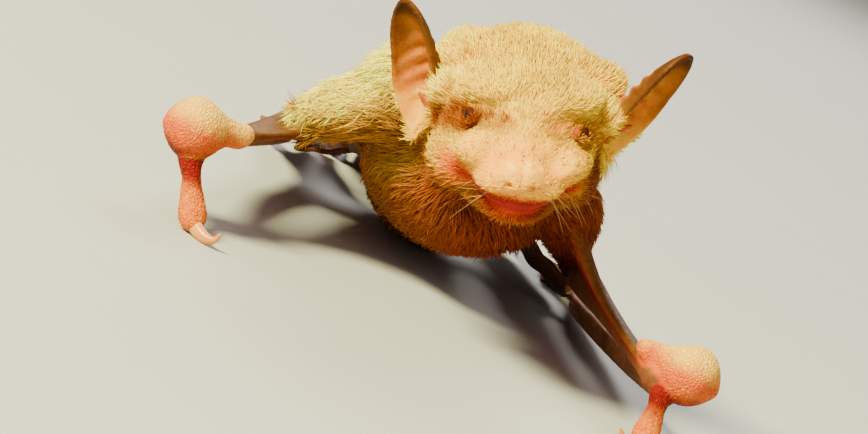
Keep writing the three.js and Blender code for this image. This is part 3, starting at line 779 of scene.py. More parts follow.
def mirrored(points, side):
    return np.array([body_point(side * x, y, z) for x, y, z in points])


# the membranes' edges on the left, from front to back
ARM_MEMBRANE_INNER = [(7.3, 9, 5.2), (7.0, 15, 4.0), (7.6, 20.5, 4.0), (7.9, 26, 2.9), (7.0, 31, 1.6)]
ARM_MEMBRANE_OUTER = [(11.0, 9, 3.6), (11.6, 22.6, 1.5), (9.9, 27.6, 1.1), (8.2, 31.6, 0.9)]
TAIL_MEMBRANE_INNER = [(0.4, 24, 3.2), (0.4, 30, 1.9), (0.4, 38, 1.0), (0.4, 49, 0.7)]
TAIL_MEMBRANE_OUTER = [
    (4.2, 23.5, 3.6),
    (5.8, 27.6, 3.1),
    (4.9, 32.6, 1.3),
    (3.7, 40.5, 0.9),
    (1.4, 50.5, 0.75),
]
CALCAR = [(5.0, 32.5, 1.2, 0.32), (3.9, 38.8, 0.8, 0.26), (2.8, 44.5, 0.6, 0.2)]


def add_wing_membranes(arm):
    side, elbow = arm.side, arm.elbow - SHIFT
    under_elbow = (abs(elbow[0]) + 0.9, elbow[1] + 0.5, max(elbow[2] - 3.6, 1.3))
    outer = [ARM_MEMBRANE_OUTER[0], under_elbow, *ARM_MEMBRANE_OUTER[1:]]
    arm_skin = pleated(mirrored(ARM_MEMBRANE_INNER, side), mirrored(outer, side), 2, 0.2, 0.4)
    add("membrane", sheet(arm_skin, 0.34, 70, 130), 0.5)
    inner, outer = mirrored(TAIL_MEMBRANE_INNER, side), mirrored(TAIL_MEMBRANE_OUTER, side)
    tail_skin = pleated(inner, outer, 1.5, 0.2, 0.1)
    add("membrane", sheet(tail_skin, 0.34, 70, 130), 0.35)
    add("membrane", body_loft([(side * x, y, z, r) for x, y, z, r in CALCAR], rings=80, sides=16), 0.2)


def leg_point(side, point):
    return body_point(side * point[0], point[1], point[2])


def foot_place(side):
    heading = unit(np.array([side * 0.2, 0.98, 0]))
    beside = unit(np.array([side * 0.98, -0.2, 0]))
    ankle = leg_point(side, ANKLE) * [1, 1, 0]
    return lambda forward, out, z: ankle + heading * forward + beside * out + [0, 0, z]


def toe_line(side, number):
    """Four joints of a toe, how far it fans out, and its length. Number -2 is the inner toe, 2 the outer."""
    on_foot = foot_place(side)
    fan = 0.42 * number
    length = 5.6 - 0.25 * abs(number)
    joints = [(2.0, 0.7, 0.7), (3.4, 1.3, 0.62), (length - 0.9, 1.85, 0.42), (length, 2.15, 0.45)]
    return [on_foot(forward, fan * spread, z) for forward, spread, z in joints], fan, length


def add_leg(side):
    hip, knee, ankle = (leg_point(side, p) for p in (HIP, KNEE, ANKLE))
    thigh = [(0, 2.1), (0.5, 1.9), (0.9, 1.35), (1, 1.15)]
    add("thigh", loft([(*between(hip, knee, s), r) for s, r in thigh]), 1.2, 0.4)
    shin = [(0, 0.95), (0.3, 0.85), (0.8, 0.5), (1, 0.55)]
    add("shin", loft([(*between(knee, ankle, s), r) for s, r in shin], rings=80), 0.5)
    on_foot = foot_place(side)
    sole = [
        (*on_foot(-0.3, 0, 1.75), 0.6),
        (*on_foot(1.0, 0, 1.2), 0.72, 0.6, 0.7),
        (*on_foot(3.3, 0, 0.62), 1.05, 0.45, 0.7),
    ]
    add("foot", loft(sole), 0.4)
    for number in range(-2, 3):
        points, _, _ = toe_line(side, number)
        toe = [(*p, r) for p, r in zip(points, (0.34, 0.36, 0.3, 0.24))]
        add("foot", loft(toe, rings=60, sides=20), 0.18)


def add_flesh():
    add_trunk()
    for arm in arms.values():
        add_arm(arm)
        add_front_membrane(arm)
        add_wing_membranes(arm)
        add_leg(arm.side)
        add_thumb(arm)
    add_skull()
    add_ears()
    add_mouth()
    add_nose()
    add_eyes()


# ---- Colours and the lie of the coat, by place --------------------------------------------------


def rgb(red, green, blue):
    """A colour given in the usual 0 to 255 steps, as the linear numbers that shading uses."""
    c = np.array([red, green, blue]) / 255
    return np.where(c <= 0.04045, c / 12.92, ((c + 0.055) / 1.055) ** 2.4)


GOLD = rgb(254, 218, 40), rgb(210, 124, 22)  # each coat colour: at the tips, at the roots
CREAM = rgb(255, 240, 96), rgb(246, 204, 56)
BROWN = rgb(188, 108, 36), rgb(90, 48, 16)
# painted shade: a dark brown laid on the throat, chin, cheek, neck and arm where they fall in shade
PAINTED_SHADE_BROWN = rgb(140, 50, 20), rgb(72, 26, 12)
BUFF = rgb(190, 118, 40), rgb(104, 56, 20)
FACE = rgb(255, 206, 26), rgb(244, 158, 20)
JOWL = rgb(252, 140, 26), rgb(226, 84, 14)
# painted shade in the eye hollows and the furrow, and also the muzzle's freckles
SHADE_AND_FRECKLE_BROWN = rgb(146, 66, 10), rgb(88, 32, 6)

MUZZLE = rgb(250, 162, 18)
# the gland's pale cream, partly a painted highlight
GLAND_AND_HIGHLIGHT = rgb(255, 198, 26)
PINK = rgb(226, 110, 30)
# the pad's pale top, partly a painted highlight; the dark red beneath it is partly painted shade
PAD_TOP_AND_HIGHLIGHT = rgb(254, 214, 84)
PAD_UNDER_AND_SHADE = rgb(128, 22, 14)
NOSE_SKIN = rgb(255, 190, 34)
LIP = rgb(150, 10, 5)
EAR_SKIN = rgb(202, 122, 14)
EAR_TIP = rgb(86, 46, 14)
# dark margins and tip, partly painted shade in the fold of the front margin
EAR_BAND_AND_SHADE = rgb(66, 40, 18)
# the bright lower lobe, partly painted light
EAR_LOBE_AND_LIGHT = rgb(252, 190, 36)
THUMB_SKIN = rgb(230, 130, 24)
WING = rgb(60, 42, 30)
WING_PINK = rgb(132, 74, 46)
BONE_SKIN = rgb(104, 70, 42)
FINGER_SKIN = rgb(178, 120, 80)
STRAP = rgb(104, 66, 28)
STRAP_UNDER = rgb(140, 34, 18)
LID = rgb(70, 28, 12)
# red in the grooves between the ridges, partly painted shade
EAR_FURROW_AND_SHADE = rgb(130, 44, 14)
TRAGUS_SKIN = rgb(190, 92, 24)

FURRED = ("head", "neck", "trunk", "upper_arm", "thigh")
HEAD_KINDS = ("head", "nose", "lip", "lid", "ear", "tragus")
BARE = HEAD_KINDS[1:] + ("forearm", "pad", "thumb", "hand", "membrane", "shin", "foot", "tail")


def mix(a, b, share):
    return a + (b - a) * share[..., None]


def layered(colour, *layers):
    """A colour with others laid over it in turn, each given with its share."""
    for over, share in layers:
        colour = mix(colour, over, share)
    return colour


def ear_share(head, name):
    """Where a point lies on an ear: its height, 0 to 1, and how far across from the front margin, -1 to 1."""
    turn = ear_turn(name)
    _, chord = ear_axes(SIDES[name])
    local = (head - EAR_BASE[name]) @ turn
    across = local @ chord
    side = np.clip(across / ear_half_width(np.clip(local[:, 2] / EAR, 0, 1)), -1, 1)
    height = (local[:, 2] - 0.7 + 1.3 * side) / (EAR - 0.7 + 1.3 * side)
    return np.clip(height, 0, 1), side


class Place:
    """What the markings depend on, for an array of points on the skin with their normals."""

    def __init__(self, points, normals):
        self.points, self.normals = points, normals
        self.body = points - SHIFT
        self.head = to_head(points)
        self.head_normal = normals @ HEAD_AXES.T
        self.near = {kind: whole.near(kind, points) for kind in whole.stored}
        furred = np.min([self.near[kind] for kind in FURRED], axis=0)
        bare = np.min([self.near[kind] for kind in BARE], axis=0)
        on_face = np.min([self.near[kind] for kind in HEAD_KINDS], axis=0)
        elsewhere = np.min([near for kind, near in self.near.items() if kind not in HEAD_KINDS], axis=0)
        self.on_head = ease(elsewhere - on_face, -0.6, 0.6)
        self.front = ease(furred - self.near["front"], -0.2, 0.5) * (1 - ease(self.near["front"], 0.3, 0.9))
        across = np.abs(self.body[:, 0])
        reach = np.where(self.body[:, 0] > 0, 7.5, 11.6) + noise(points, 0.8, 9)
        self.front_fur = self.front * (1 - ease(across - reach, -1.2, 1.2))
        self.fur = ease(bare - furred, -0.2, 0.2) * (1 - ease(furred, 0.3, 0.9)) * (1 - self.front)
        ear = np.minimum(self.near["ear"], self.near["tragus"])
        self.ear_fur = self.find_ear_fur() * (1 - ease(ear, 0.1, 0.6))
        self.fur = np.max([self.fur, self.front_fur, self.ear_fur], axis=0)
        self.muzzle = self.on_head * ease(-self.head[:, 1], 4.0, 6.4)

    def find_ear_fur(self):
        """The fur on the back of each ear, and a low fringe round its base, highest at the front margin."""
        fur = np.zeros(len(self.points))
        for name, side in SIDES.items():
            turn = ear_turn(name)
            opening, _ = ear_axes(side)
            height = ((self.head - EAR_BASE[name]) @ turn)[:, 2]
            behind = -self.head_normal @ (turn @ opening)
            own = np.sign(self.head[:, 0]) == side
            top = EAR_FUR_TOP[name]
            fur = np.maximum(fur, own * ease(behind, 0.1, 0.5) * (1 - ease(height, 0.4 * top, top)))
            up, across = ear_share(self.head, name)
            fringe = 0.16 * (1 - ease(np.abs(across + 1), 0.1, 0.5))
            above = up - fringe + 0.05 * noise(self.points, 0.6, 8)
            fur = np.maximum(fur, own * (1 - ease(above, 0.0, 0.09)))
        return fur


def away_from_line(at, start, end):
    """Each point's distance from a straight line between two points."""
    start, end = np.array(start), np.array(end)
    share = np.clip((at - start) @ (end - start) / ((end - start) @ (end - start)), 0, 1)
    return np.linalg.norm(at - start - share[..., None] * (end - start), axis=-1)


def fade(distance, reach):
    """1 at a feature and near it, down to 0 at its reach."""
    return 1 - ease(distance, 0.35 * reach, reach)


ROUND_SPOTS = {  # on the left of the head: centre, radii, and how many radii each reaches
    "swelling": ((2.9, -6.8, 0.5), (1.5, 1.4, 0.95), 1.2),
    "jowl": ((3.7, -5.6, -1.9), (1.9, 2.2, 1.4), 1.2),
    "shaded_furrow": ((2.4, -5.2, 1.65), (1.9, 1.1, 0.55), 1.4),
    "forelock": ((5.0, -1.9, 1.6), (1.5, 1.6, 1.9), 1.1),
    # the dark cheek, painted shade, stronger on the left
    "cheek": ((5.3, -3.8, -2.0), (1.6, 2.8, 2.4), 1.2),
}
# painted shadow: a streak from the eye towards the ear
TEMPLE_SHADOW_LINE = (3.7, -4.6, 1.1), (5.9, -1.6, -0.6)  # the dark streak from the eye towards the ear


def head_spots(place):
    """How much of each face marking a point has; the socket, furrow, temple and chin marks are painted shade
    in the face's hollows.
    """
    side = np.abs(place.head[:, 0])
    back, up = place.head[:, 1], place.head[:, 2]
    at = np.stack([side, back, up], -1)

    def around(centre, radii):
        return np.linalg.norm((at - centre) / radii, axis=-1)

    eye_hollow = around((4.2, -4.2, 1.05), (1.6, 1.8, 1.0)) + 0.25 * noise(place.points, 0.7, 44)
    temple = away_from_line(at, *TEMPLE_SHADOW_LINE) + 0.3 * noise(place.points, 0.8, 45)
    spots = {name: fade(around(centre, radii), reach) for name, (centre, radii, reach) in ROUND_SPOTS.items()}
    spots["muzzle"] = ease(-back, 5.4, 7.4) * ease(up, -3.2, -1.6)
    # painted shade in the eye's hollow
    spots["socket"] = 1 - ease(eye_hollow, 0.15, 1.5)
    # painted shade: the chin darkens under the lip
    spots["chin"] = ease(-up, 2.4, 2.9) * ease(-back, -1, 2)
    spots["temple"] = fade(temple, 1.5)
    return spots


def coat_colours(place):
    """The coat's colour at its tips and at its roots, with painted shade on the throat, chin, cheek, neck and
    arm and in the hollows of the face, and painted light on the right shoulder and jowl.
    """
    spots = head_spots(place)
    below = ease(-place.normals[:, 2], -0.1, 0.7)
    flank = ease(-place.normals[:, 2], -0.55, 0.3)
    patchy = 1.6 * noise(place.points, 3.0, 41)
    nape = 1 - ease(place.body[:, 1] + patchy, -3.0, 11.0)
    aside = ease(np.abs(place.body[:, 0]) + 0.6 * patchy, 2.5, 6.0)
    # painted light: the shoulder's cream is full on the right, lit side, weaker on the left and on faces
    # turned down
    shoulder = (1 - ease(place.body[:, 1] + patchy, -3.0, 6.0)) * aside * (1 - 0.8 * below)
    shoulder = shoulder * np.where(place.body[:, 0] > 0, 0.4, 1)
    # painted shade: the throat darkens on faces turned down, more towards the left, away from the light
    throat_shade = (1 - ease(place.body[:, 1] + patchy, -1.0, 8.0)) * ease(-place.normals[:, 2], -0.35, 0.2)
    throat_shade = throat_shade * (0.45 + 0.45 * ease(place.body[:, 0], -4, 2))
    # painted shade on the left side of the neck, under the ear
    shade_beside_cheek = ease(place.head[:, 0], 3.5, 5.5) * ease(-place.head[:, 2], -0.5, 1.5)
    shade_beside_cheek = shade_beside_cheek * (1 - ease(place.head[:, 1], 3, 7))
    # painted shade on the upper arm's fur, stronger on the left
    arm_near = np.minimum(place.near["upper_arm"], place.near["front"])
    arm_fur_shade = ease(np.minimum(place.near["trunk"], place.near["neck"]) - arm_near, -0.5, 0.5)
    # brown mottling and painted shade in the eye hollows and the furrow, with the painted shadow streak
    # towards the ear
    mottled_shade = spots["socket"] + 0.75 * spots["shaded_furrow"] * (0.8 + 0.9 * noise(place.points, 0.4, 42))
    mottled_shade = np.maximum(mottled_shade, spots["temple"] * np.where(place.head[:, 0] < 0, 1.0, 0.6))
    freckles = np.clip(spots["swelling"] + spots["muzzle"], 0, 1)
    freckles = ease(noise(place.points, 0.28, 47), 0.3, 0.6) * freckles
    right_side = place.head[:, 0] < 0
    shaded = spots["cheek"] * np.where(right_side, 0.25, 0.9)
    # rosy jowl, partly a painted glow: much stronger on the right side
    rosy_and_glow = spots["jowl"] * np.where(right_side, 0.85, 0.4)
    near_lip = 0.8 * (1 - ease(place.near["lip"], 0.1, 1.0)) * ease(place.head[:, 2], -2.9, -2.3)
    throat_and_arm_shade = np.maximum(throat_shade, arm_fur_shade * np.where(place.body[:, 0] > 0, 0.95, 0.75))
    # the colour of the painted shade in the hollows, lighter on the left
    hollow = [mix(socket_shade, FACE[1], np.where(right_side, 0.0, 0.35)) for socket_shade in SHADE_AND_FRECKLE_BROWN]
    body_layers = [
        (BUFF, below),
        (GOLD, nape * (1 - flank)),
        (CREAM, shoulder),
        (PAINTED_SHADE_BROWN, 0.85 * shade_beside_cheek),
        (PAINTED_SHADE_BROWN, throat_and_arm_shade),
    ]
    head_layers = [
        (FACE, spots["muzzle"] * 0.8),
        (CREAM, spots["forelock"] * 0.35),
        (hollow, np.clip(np.where(right_side, 0.95, 0.8) * mottled_shade, 0, 1)),
        (PAINTED_SHADE_BROWN, spots["chin"] * 0.85),
        (JOWL, rosy_and_glow),
        (PAINTED_SHADE_BROWN, shaded),
        (SHADE_AND_FRECKLE_BROWN, 0.6 * freckles),
        ((JOWL[1], JOWL[1]), near_lip),
        ((LIP, LIP), 0.75 * (1 - ease(place.near["lip"], 0.1, 0.9))),
    ]
    colours = []
    for i in (0, 1):
        body = layered(BROWN[i], *((pair[i], share) for pair, share in body_layers))
        head = layered(GOLD[i], *((pair[i], share) for pair, share in head_layers))
        colours.append(layered(body, (head, place.on_head), (FACE[0], place.ear_fur * 0.8)))
    return colours


def ear_colours(place):
    """Amber within, brown towards the tip, with a dark front margin and red furrows between the ridges. The
    margin's fold and the furrows are partly painted shade; the margin's pale rim and the bright lower lobe
    are partly painted light.
    """
    colour = EAR_SKIN
    for name, side in SIDES.items():
        own = (np.sign(place.head[:, 0]) == side).astype(float)
        height, across = ear_share(place.head, name)
        patch = 0.12 * noise(place.points, 1.2, 51)
        shaded_furrow = ease(-np.cos(2 * np.pi * EAR_RIDGES * height), 0.1, 1) * ease(height, 0.15, 0.25)
        shaded_furrow = shaded_furrow * (1 - ease(height, 0.5, 0.75))
        # the front margin's dark band, partly painted shade in its fold; its very rim is left pale as a
        # painted highlight
        band = ease(-across, 0.5, 0.8) * (1 - ease(-across, 0.93, 1.0)) * ease(height, 0.1, 0.3)
        tone = layered(
            EAR_SKIN,
            (EAR_LOBE_AND_LIGHT, 1 - ease(height + patch, 0.1, 0.4)),
            (EAR_FURROW_AND_SHADE, 0.7 * shaded_furrow * (1 - across**2)),
            (EAR_TIP, 0.95 * ease(height + patch, 0.42, 0.9)),
            (EAR_BAND_AND_SHADE, 0.85 * band),
            (EAR_BAND_AND_SHADE, 0.5 * ease(across, 0.8, 0.97) * ease(height, 0.3, 0.6)),
            (EAR_BAND_AND_SHADE, 0.8 * ease(height, 0.86, 0.95) * ease(across, -0.3, 0.4)),
        )
        colour = mix(colour, tone, own)
    return colour


def pad_colours(place):
    """Cream on top, partly a painted highlight, rosy on the sides and dark red beneath, partly painted shade.
    """
    height = np.zeros(len(place.points))
    for arm in arms.values():
        own = np.sign(place.body[:, 0]) == arm.side
        height = np.where(own, (place.points[:, 2] - arm.pad[2]) / PAD, height)
    height = height + 0.15 * noise(place.points, 0.9, 7)
    side = mix(PINK, PAD_TOP_AND_HIGHLIGHT, ease(height, -0.15, 0.75))
    return mix(side, PAD_UNDER_AND_SHADE, ease(-height, 0.25, 0.95))


def thumb_colours(place):
    """Dark red in the neck under the pad, partly painted shade, then pale to the claw."""
    height = np.full(len(place.points), 9.0)
    for arm in arms.values():
        own = np.sign(place.body[:, 0]) == arm.side
        height = np.where(own, (arm.pad[2] - place.points[:, 2]) / arm.pad[2], height)
    height = height + 0.05 * noise(place.points, 0.5, 6)
    return mix(PAD_UNDER_AND_SHADE, THUMB_SKIN, ease(height, 0.4, 0.66))


def skin_colours(place):
    spots = head_spots(place)
    tip, root = coat_colours(place)
    under = ease(-place.normals[:, 2], -0.2, 0.8)
    pink = np.clip(spots["swelling"] * 0.6 + spots["muzzle"] * 0.7, 0, 1) * place.on_head
    # painted shade in the eye hollows and the furrow, on the bare skin
    socket_shade = 0.85 * np.maximum(spots["socket"], 0.6 * spots["shaded_furrow"]) * (1 - spots["swelling"])
    skin = layered(
        mix(root, tip, 0.35 + 0.35 * place.on_head),
        (MUZZLE, pink * (1 - 0.6 * spots["socket"])),
        # the gland's pale cream, partly a painted highlight
        (GLAND_AND_HIGHLIGHT, 0.7 * spots["swelling"] * place.on_head),
        (JOWL[1], 0.75 * (1 - ease(place.near["lip"], 0.1, 0.9)) * place.on_head),
        (LIP, 0.75 * (1 - ease(place.near["lip"], 0.1, 0.8)) * place.on_head),
        (SHADE_AND_FRECKLE_BROWN[0], socket_shade * place.on_head),
    )
    bare = {
        "membrane": mix(WING, WING_PINK, 0.25 + 0.2 * noise(place.points, 3.0, 3)),
        "hand": mix(BONE_SKIN, FINGER_SKIN, 0.45 + 0.3 * noise(place.points, 2.0, 4)),
        "front": mix(STRAP, STRAP_UNDER, under),
        "forearm": mix(BONE_SKIN, WING_PINK, under),
        "shin": BONE_SKIN,
        "tail": BONE_SKIN,
        "foot": mix(BONE_SKIN, PINK, 0.5 + 0.3 * noise(place.points, 1.0, 5)),
        "thumb": thumb_colours(place),
        "pad": pad_colours(place),
        "ear": ear_colours(place),
        "tragus": TRAGUS_SKIN,
        "lid": LID,
        "lip": LIP,
        "nose": NOSE_SKIN,
    }
    for kind, colour in bare.items():
        others = [place.near[other] for other in whole.stored if other != kind]
        share = ease(np.min(others, axis=0) - place.near[kind], -0.35, 0.25)
        if kind == "front":
            share = share * (1 - place.front_fur)
        if kind == "pad":
            beside = 1 - ease(place.near["pad"], 0.05, 0.6)
            beside = beside * ease(place.near["thumb"] - place.near["pad"], -0.1, 0.4)
            share = np.maximum(share, beside)
        skin = mix(skin, colour, share)
    return np.clip(skin, 0.002, 1)


# ---- The skin's mesh ----------------------------------------------------------------------------


def mesh_object(name, points, faces, smooth=True):
    """A mesh object from points in millimetres and an array of triangles or quads."""
    mesh = bpy.data.meshes.new(name)
    corners = faces.shape[1]
    mesh.vertices.add(len(points))
    mesh.vertices.foreach_set("co", np.ascontiguousarray(points * MM, np.float32).ravel())
    mesh.loops.add(len(faces) * corners)
    mesh.loops.foreach_set("vertex_index", np.ascontiguousarray(faces, np.int32).ravel())
    mesh.polygons.add(len(faces))
    mesh.polygons.foreach_set("loop_start", np.arange(0, len(faces) * corners, corners, dtype=np.int32))
    mesh.polygons.foreach_set("loop_total", np.full(len(faces), corners, np.int32))
    mesh.update(calc_edges=True)
    mesh.polygons.foreach_set("use_smooth", np.full(len(faces), smooth))
    made = bpy.data.objects.new(name, mesh)
    bpy.context.scene.collection.objects.link(made)
    return made


def paint(mesh, name, colours):
    layer = mesh.color_attributes.new(name, "FLOAT_COLOR", "POINT")
    opaque = np.column_stack([colours, np.ones(len(colours))])
    layer.data.foreach_set("color", opaque.astype(np.float32).ravel())


def mesh_arrays(mesh):
    points = np.empty(len(mesh.vertices) * 3, np.float32)
    mesh.vertices.foreach_get("co", points)
    mesh.calc_loop_triangles()
    faces = np.empty(len(mesh.loop_triangles) * 3, np.int32)
    mesh.loop_triangles.foreach_get("vertices", faces)
    return points.reshape(-1, 3).astype(float) / MM, faces.reshape(-1, 3)


def normals_of(points, faces):
    corners = points[faces]
    each = np.cross(corners[:, 1] - corners[:, 0], corners[:, 2] - corners[:, 0])
    total = np.zeros_like(points)
    for i in range(3):
        np.add.at(total, faces[:, i], each)
    return unit(total)


def applied(thing, kind, **settings):
    """The object with one modifier worked into its mesh."""
    modifier = thing.modifiers.new(kind, kind)
    for key, value in settings.items():
        setattr(modifier, key, value)
    bpy.context.view_layer.update()
    ready = bpy.data.meshes.new_from_object(thing.evaluated_get(bpy.context.evaluated_depsgraph_get()))
    thing.modifiers.clear()
    thing.data = ready
    return thing


SKIN_FACES = 140_000


def make_skin():
    level = openvdb.FloatGrid(BAND)
    level.transform = openvdb.createLinearTransform(CELL)
    level.copyFromArray(whole.values, ijk=tuple(int(n) for n in whole.low), tolerance=0)
    points, quads = level.convertToQuads(isovalue=0)
    triangles = np.vstack([quads[:, [0, 1, 2]], quads[:, [0, 2, 3]]]).astype(np.int64)
    _, turned_out = outward(points.astype(float), triangles)
    if not np.array_equal(turned_out, triangles):
        quads = quads[:, ::-1]
    skin = mesh_object("skin", points, quads)
    skin = applied(skin, "DECIMATE", ratio=SKIN_FACES / len(triangles))
    refine(skin, lambda at: np.min([whole.near(kind, at) for kind in ("nose", "lip", "lid")], axis=0) < 0.5)
    refine(skin, lambda at: np.min([whole.near(kind, at) for kind in ("pad", "thumb")], axis=0) < 0.2)
    points, _ = mesh_arrays(skin.data)
    inner = np.all((points > face.low * FACE_CELL + 0.4) & (points < face.high * FACE_CELL - 0.4), axis=1)
    inner &= np.min([whole.near(kind, points) for kind in BODY_KINDS], axis=0) >= BAND * 0.98
    points[inner] = face.settle(points[inner])
    points[~inner] = whole.settle(points[~inner])
    points = roughened(points, mesh_arrays(skin.data)[1])
    skin.data.vertices.foreach_set("co", (points * MM).astype(np.float32).ravel())
    skin.data.update()
    skin.data.polygons.foreach_set("use_smooth", np.ones(len(skin.data.polygons), bool))
    return skin


def roughened(points, faces):
    """Lumps on the nose and fine ridges on the pads and thumbs."""
    nose = 1 - ease(whole.near("nose", points), -0.2, 0.3)
    pads = 1 - ease(np.min([whole.near(kind, points) for kind in ("pad", "thumb")], axis=0), -0.1, 0.2)
    ridge = 1 - 2 * np.abs(noise(points, 0.26, 61))
    rise = 0.09 * nose * noise(points, 0.42, 62) + 0.035 * pads * (ridge - 0.5)
    return points + normals_of(points, faces) * rise[:, None]


def refine(thing, wanted):
    """Halves the edges of the faces in the wanted places."""
    mesh = bmesh.new()
    mesh.from_mesh(thing.data)
    mesh.faces.ensure_lookup_table()
    middles = np.array([f.calc_center_median() for f in mesh.faces]) / MM
    chosen = np.nonzero(wanted(middles))[0]
    edges = {edge for i in chosen for edge in mesh.faces[i].edges}
    bmesh.ops.subdivide_edges(mesh, edges=list(edges), cuts=1, use_grid_fill=True)
    bmesh.ops.triangulate(mesh, faces=[f for f in mesh.faces if len(f.verts) > 3])
    mesh.to_mesh(thing.data)
    mesh.free()


# ---- The coat -----------------------------------------------------------------------------------

TUFTS_EACH = 16_000
BODY_LENGTH, LIMB_LENGTH, HEAD_LENGTH = 1.55, 1.15, 0.85
TUFT_WIDTH = 0.13
BODY_MANY, HEAD_MANY = 31, 140  # tufts to a square millimetre
SPINE = np.array([0.0, 1.0, -0.1])
BODY_REGIONS = {  # where each part of the coat starts and ends along the body, and a point on its axis
    "shoulder": (-np.inf, 2, (0, 0, 9)),
    "back": (2, 12, (0, 6, 6)),
    "rump": (12, np.inf, (0, 16, 5)),
}


def coat_shape(place):
    """Length, width, how many to a square millimetre, and how far each tuft lifts from the skin."""
    spots = head_spots(place)
    back = place.head[:, 1]
    face = ease(-back, 2.5, 6.0) * place.on_head
    below = ease(-place.normals[:, 2], 0.0, 0.7)
    length = BODY_LENGTH - 0.25 * below
    length = length + 0.45 * (1 - ease(place.body[:, 1], -4, 4))
    limb = np.minimum(place.near["upper_arm"], place.near["thigh"])
    trunk = np.minimum(place.near["trunk"], place.near["neck"])
    length = np.where(limb < trunk, LIMB_LENGTH, length)
    head_length = HEAD_LENGTH - 0.36 * face + 0.3 * spots["forelock"] - 0.12 * spots["muzzle"]
    head_length = head_length + 0.35 * spots["chin"] - 0.08 * spots["swelling"] - 0.3 * place.ear_fur
    length = length + (head_length - length) * np.maximum(place.on_head, place.ear_fur)
    ahead = 1 - ease(place.body[:, 1], -1, 7)
    width = TUFT_WIDTH - 0.03 * ahead - (0.02 + 0.018 * face) * place.on_head
    many = BODY_MANY + 29 * ahead - 11 * below
    many = many + (HEAD_MANY - many) * place.on_head
    many = many * (1 + (0.1 * spots["swelling"] - 0.3 * spots["muzzle"]) * place.on_head)
    lift = 0.3 + 0.12 * place.on_head - 0.04 * face
    # hair thins out and shortens towards bare skin
    thin = place.fur
    return length * (0.45 + 0.55 * thin), width, many * thin, lift


def coat_lie(place):
    """The direction in which the coat lies, before it is brought onto the skin."""
    head = (place.head - [0, -9.5, -1.2]) @ HEAD_AXES
    body = np.tile([0.0, 1.0, -0.25], (len(place.points), 1))
    body[:, 2] -= 0.6 * np.abs(place.normals[:, 0])
    body[:, 0] += 0.25 * place.normals[:, 0]
    arm_pull = np.zeros_like(body)
    for arm in arms.values():
        out = unit(arm.wrist - arm.shoulder) + [0, 0.25, 0]
        arm_pull += out * (np.sign(place.body[:, 0]) == arm.side)[:, None]
    pull = (1 - ease(place.body[:, 1], -5, 2)) * ease(np.abs(place.body[:, 0]), 2.5, 5.5)
    body = mix(unit(body), arm_pull, np.clip(place.front_fur + pull, 0, 1))
    lie = mix(unit(body), unit(head), place.on_head)
    swirl = np.stack([noise(place.points, 1.1, seed) for seed in (21, 22, 23)], -1)
    lie = unit(lie) + (0.42 - 0.2 * place.on_head)[:, None] * swirl + 0.16 * rng.normal(size=lie.shape)
    lie -= place.normals * np.einsum("ij,ij->i", lie, place.normals)[:, None]
    return unit(lie)


def spindles(roots, normals, lie, length, width, lift, curl):
    """Thin closed tufts, three-sided, that leave the skin and bend back towards it.

    Returns their points, their faces and how far along its tuft each point is.
    """
    count = len(roots)
    side = unit(np.cross(lie, normals))
    shares = np.array([0.0, 0.3, 0.68, 1.0])
    line = []
    for t in shares:
        rise = lift * (t - 0.42 * t * t)
        bend = curl * t * t
        at = roots - normals * 0.06 + lie * (length * t)[:, None]
        line.append(at + normals * (length * rise)[:, None] + side * (length * bend)[:, None])
    points = np.empty((count, 8, 3))
    points[:, 0], points[:, 7] = line[0], line[3]
    for ring, (centre, swell) in enumerate(((line[1], 1.0), (line[2], 0.72))):
        for k in range(3):
            angle = 2 * np.pi * k / 3 + np.pi / 2
            offset = side * math.cos(angle) + normals * (0.6 * math.sin(angle))
            points[:, 1 + 3 * ring + k] = centre + offset * (width * swell / 2)[:, None]
    one = []
    for k in range(3):
        n = (k + 1) % 3
        one += [(0, 1 + n, 1 + k), (1 + k, 1 + n, 4 + n), (1 + k, 4 + n, 4 + k), (4 + k, 4 + n, 7)]
    faces = (np.array(one)[None] + 8 * np.arange(count)[:, None, None]).reshape(-1, 3)
    flat = points.reshape(-1, 3)
    _, first = outward(points[0], np.array(one))
    if not np.array_equal(first, np.array(one)):
        faces = faces[:, ::-1]
    return flat, faces, np.tile([0, 0.3, 0.3, 0.3, 0.68, 0.68, 0.68, 1], count)


PATCH = 0.003


def unwrap(points, axis_point, axis, up):
    """A root's place on the skin unrolled round an axis: its turn round the axis, and its place along it."""
    across = unit(np.cross(axis, up))
    top = np.cross(across, axis)
    away = points - axis_point
    turn = np.arctan2(away @ across, away @ top) / (2 * np.pi) + 0.5
    along = away @ axis
    low, high = along.min(), along.max()
    return np.stack([0.01 + 0.98 * turn, 0.01 + 0.98 * (along - low) / (high - low)], -1)


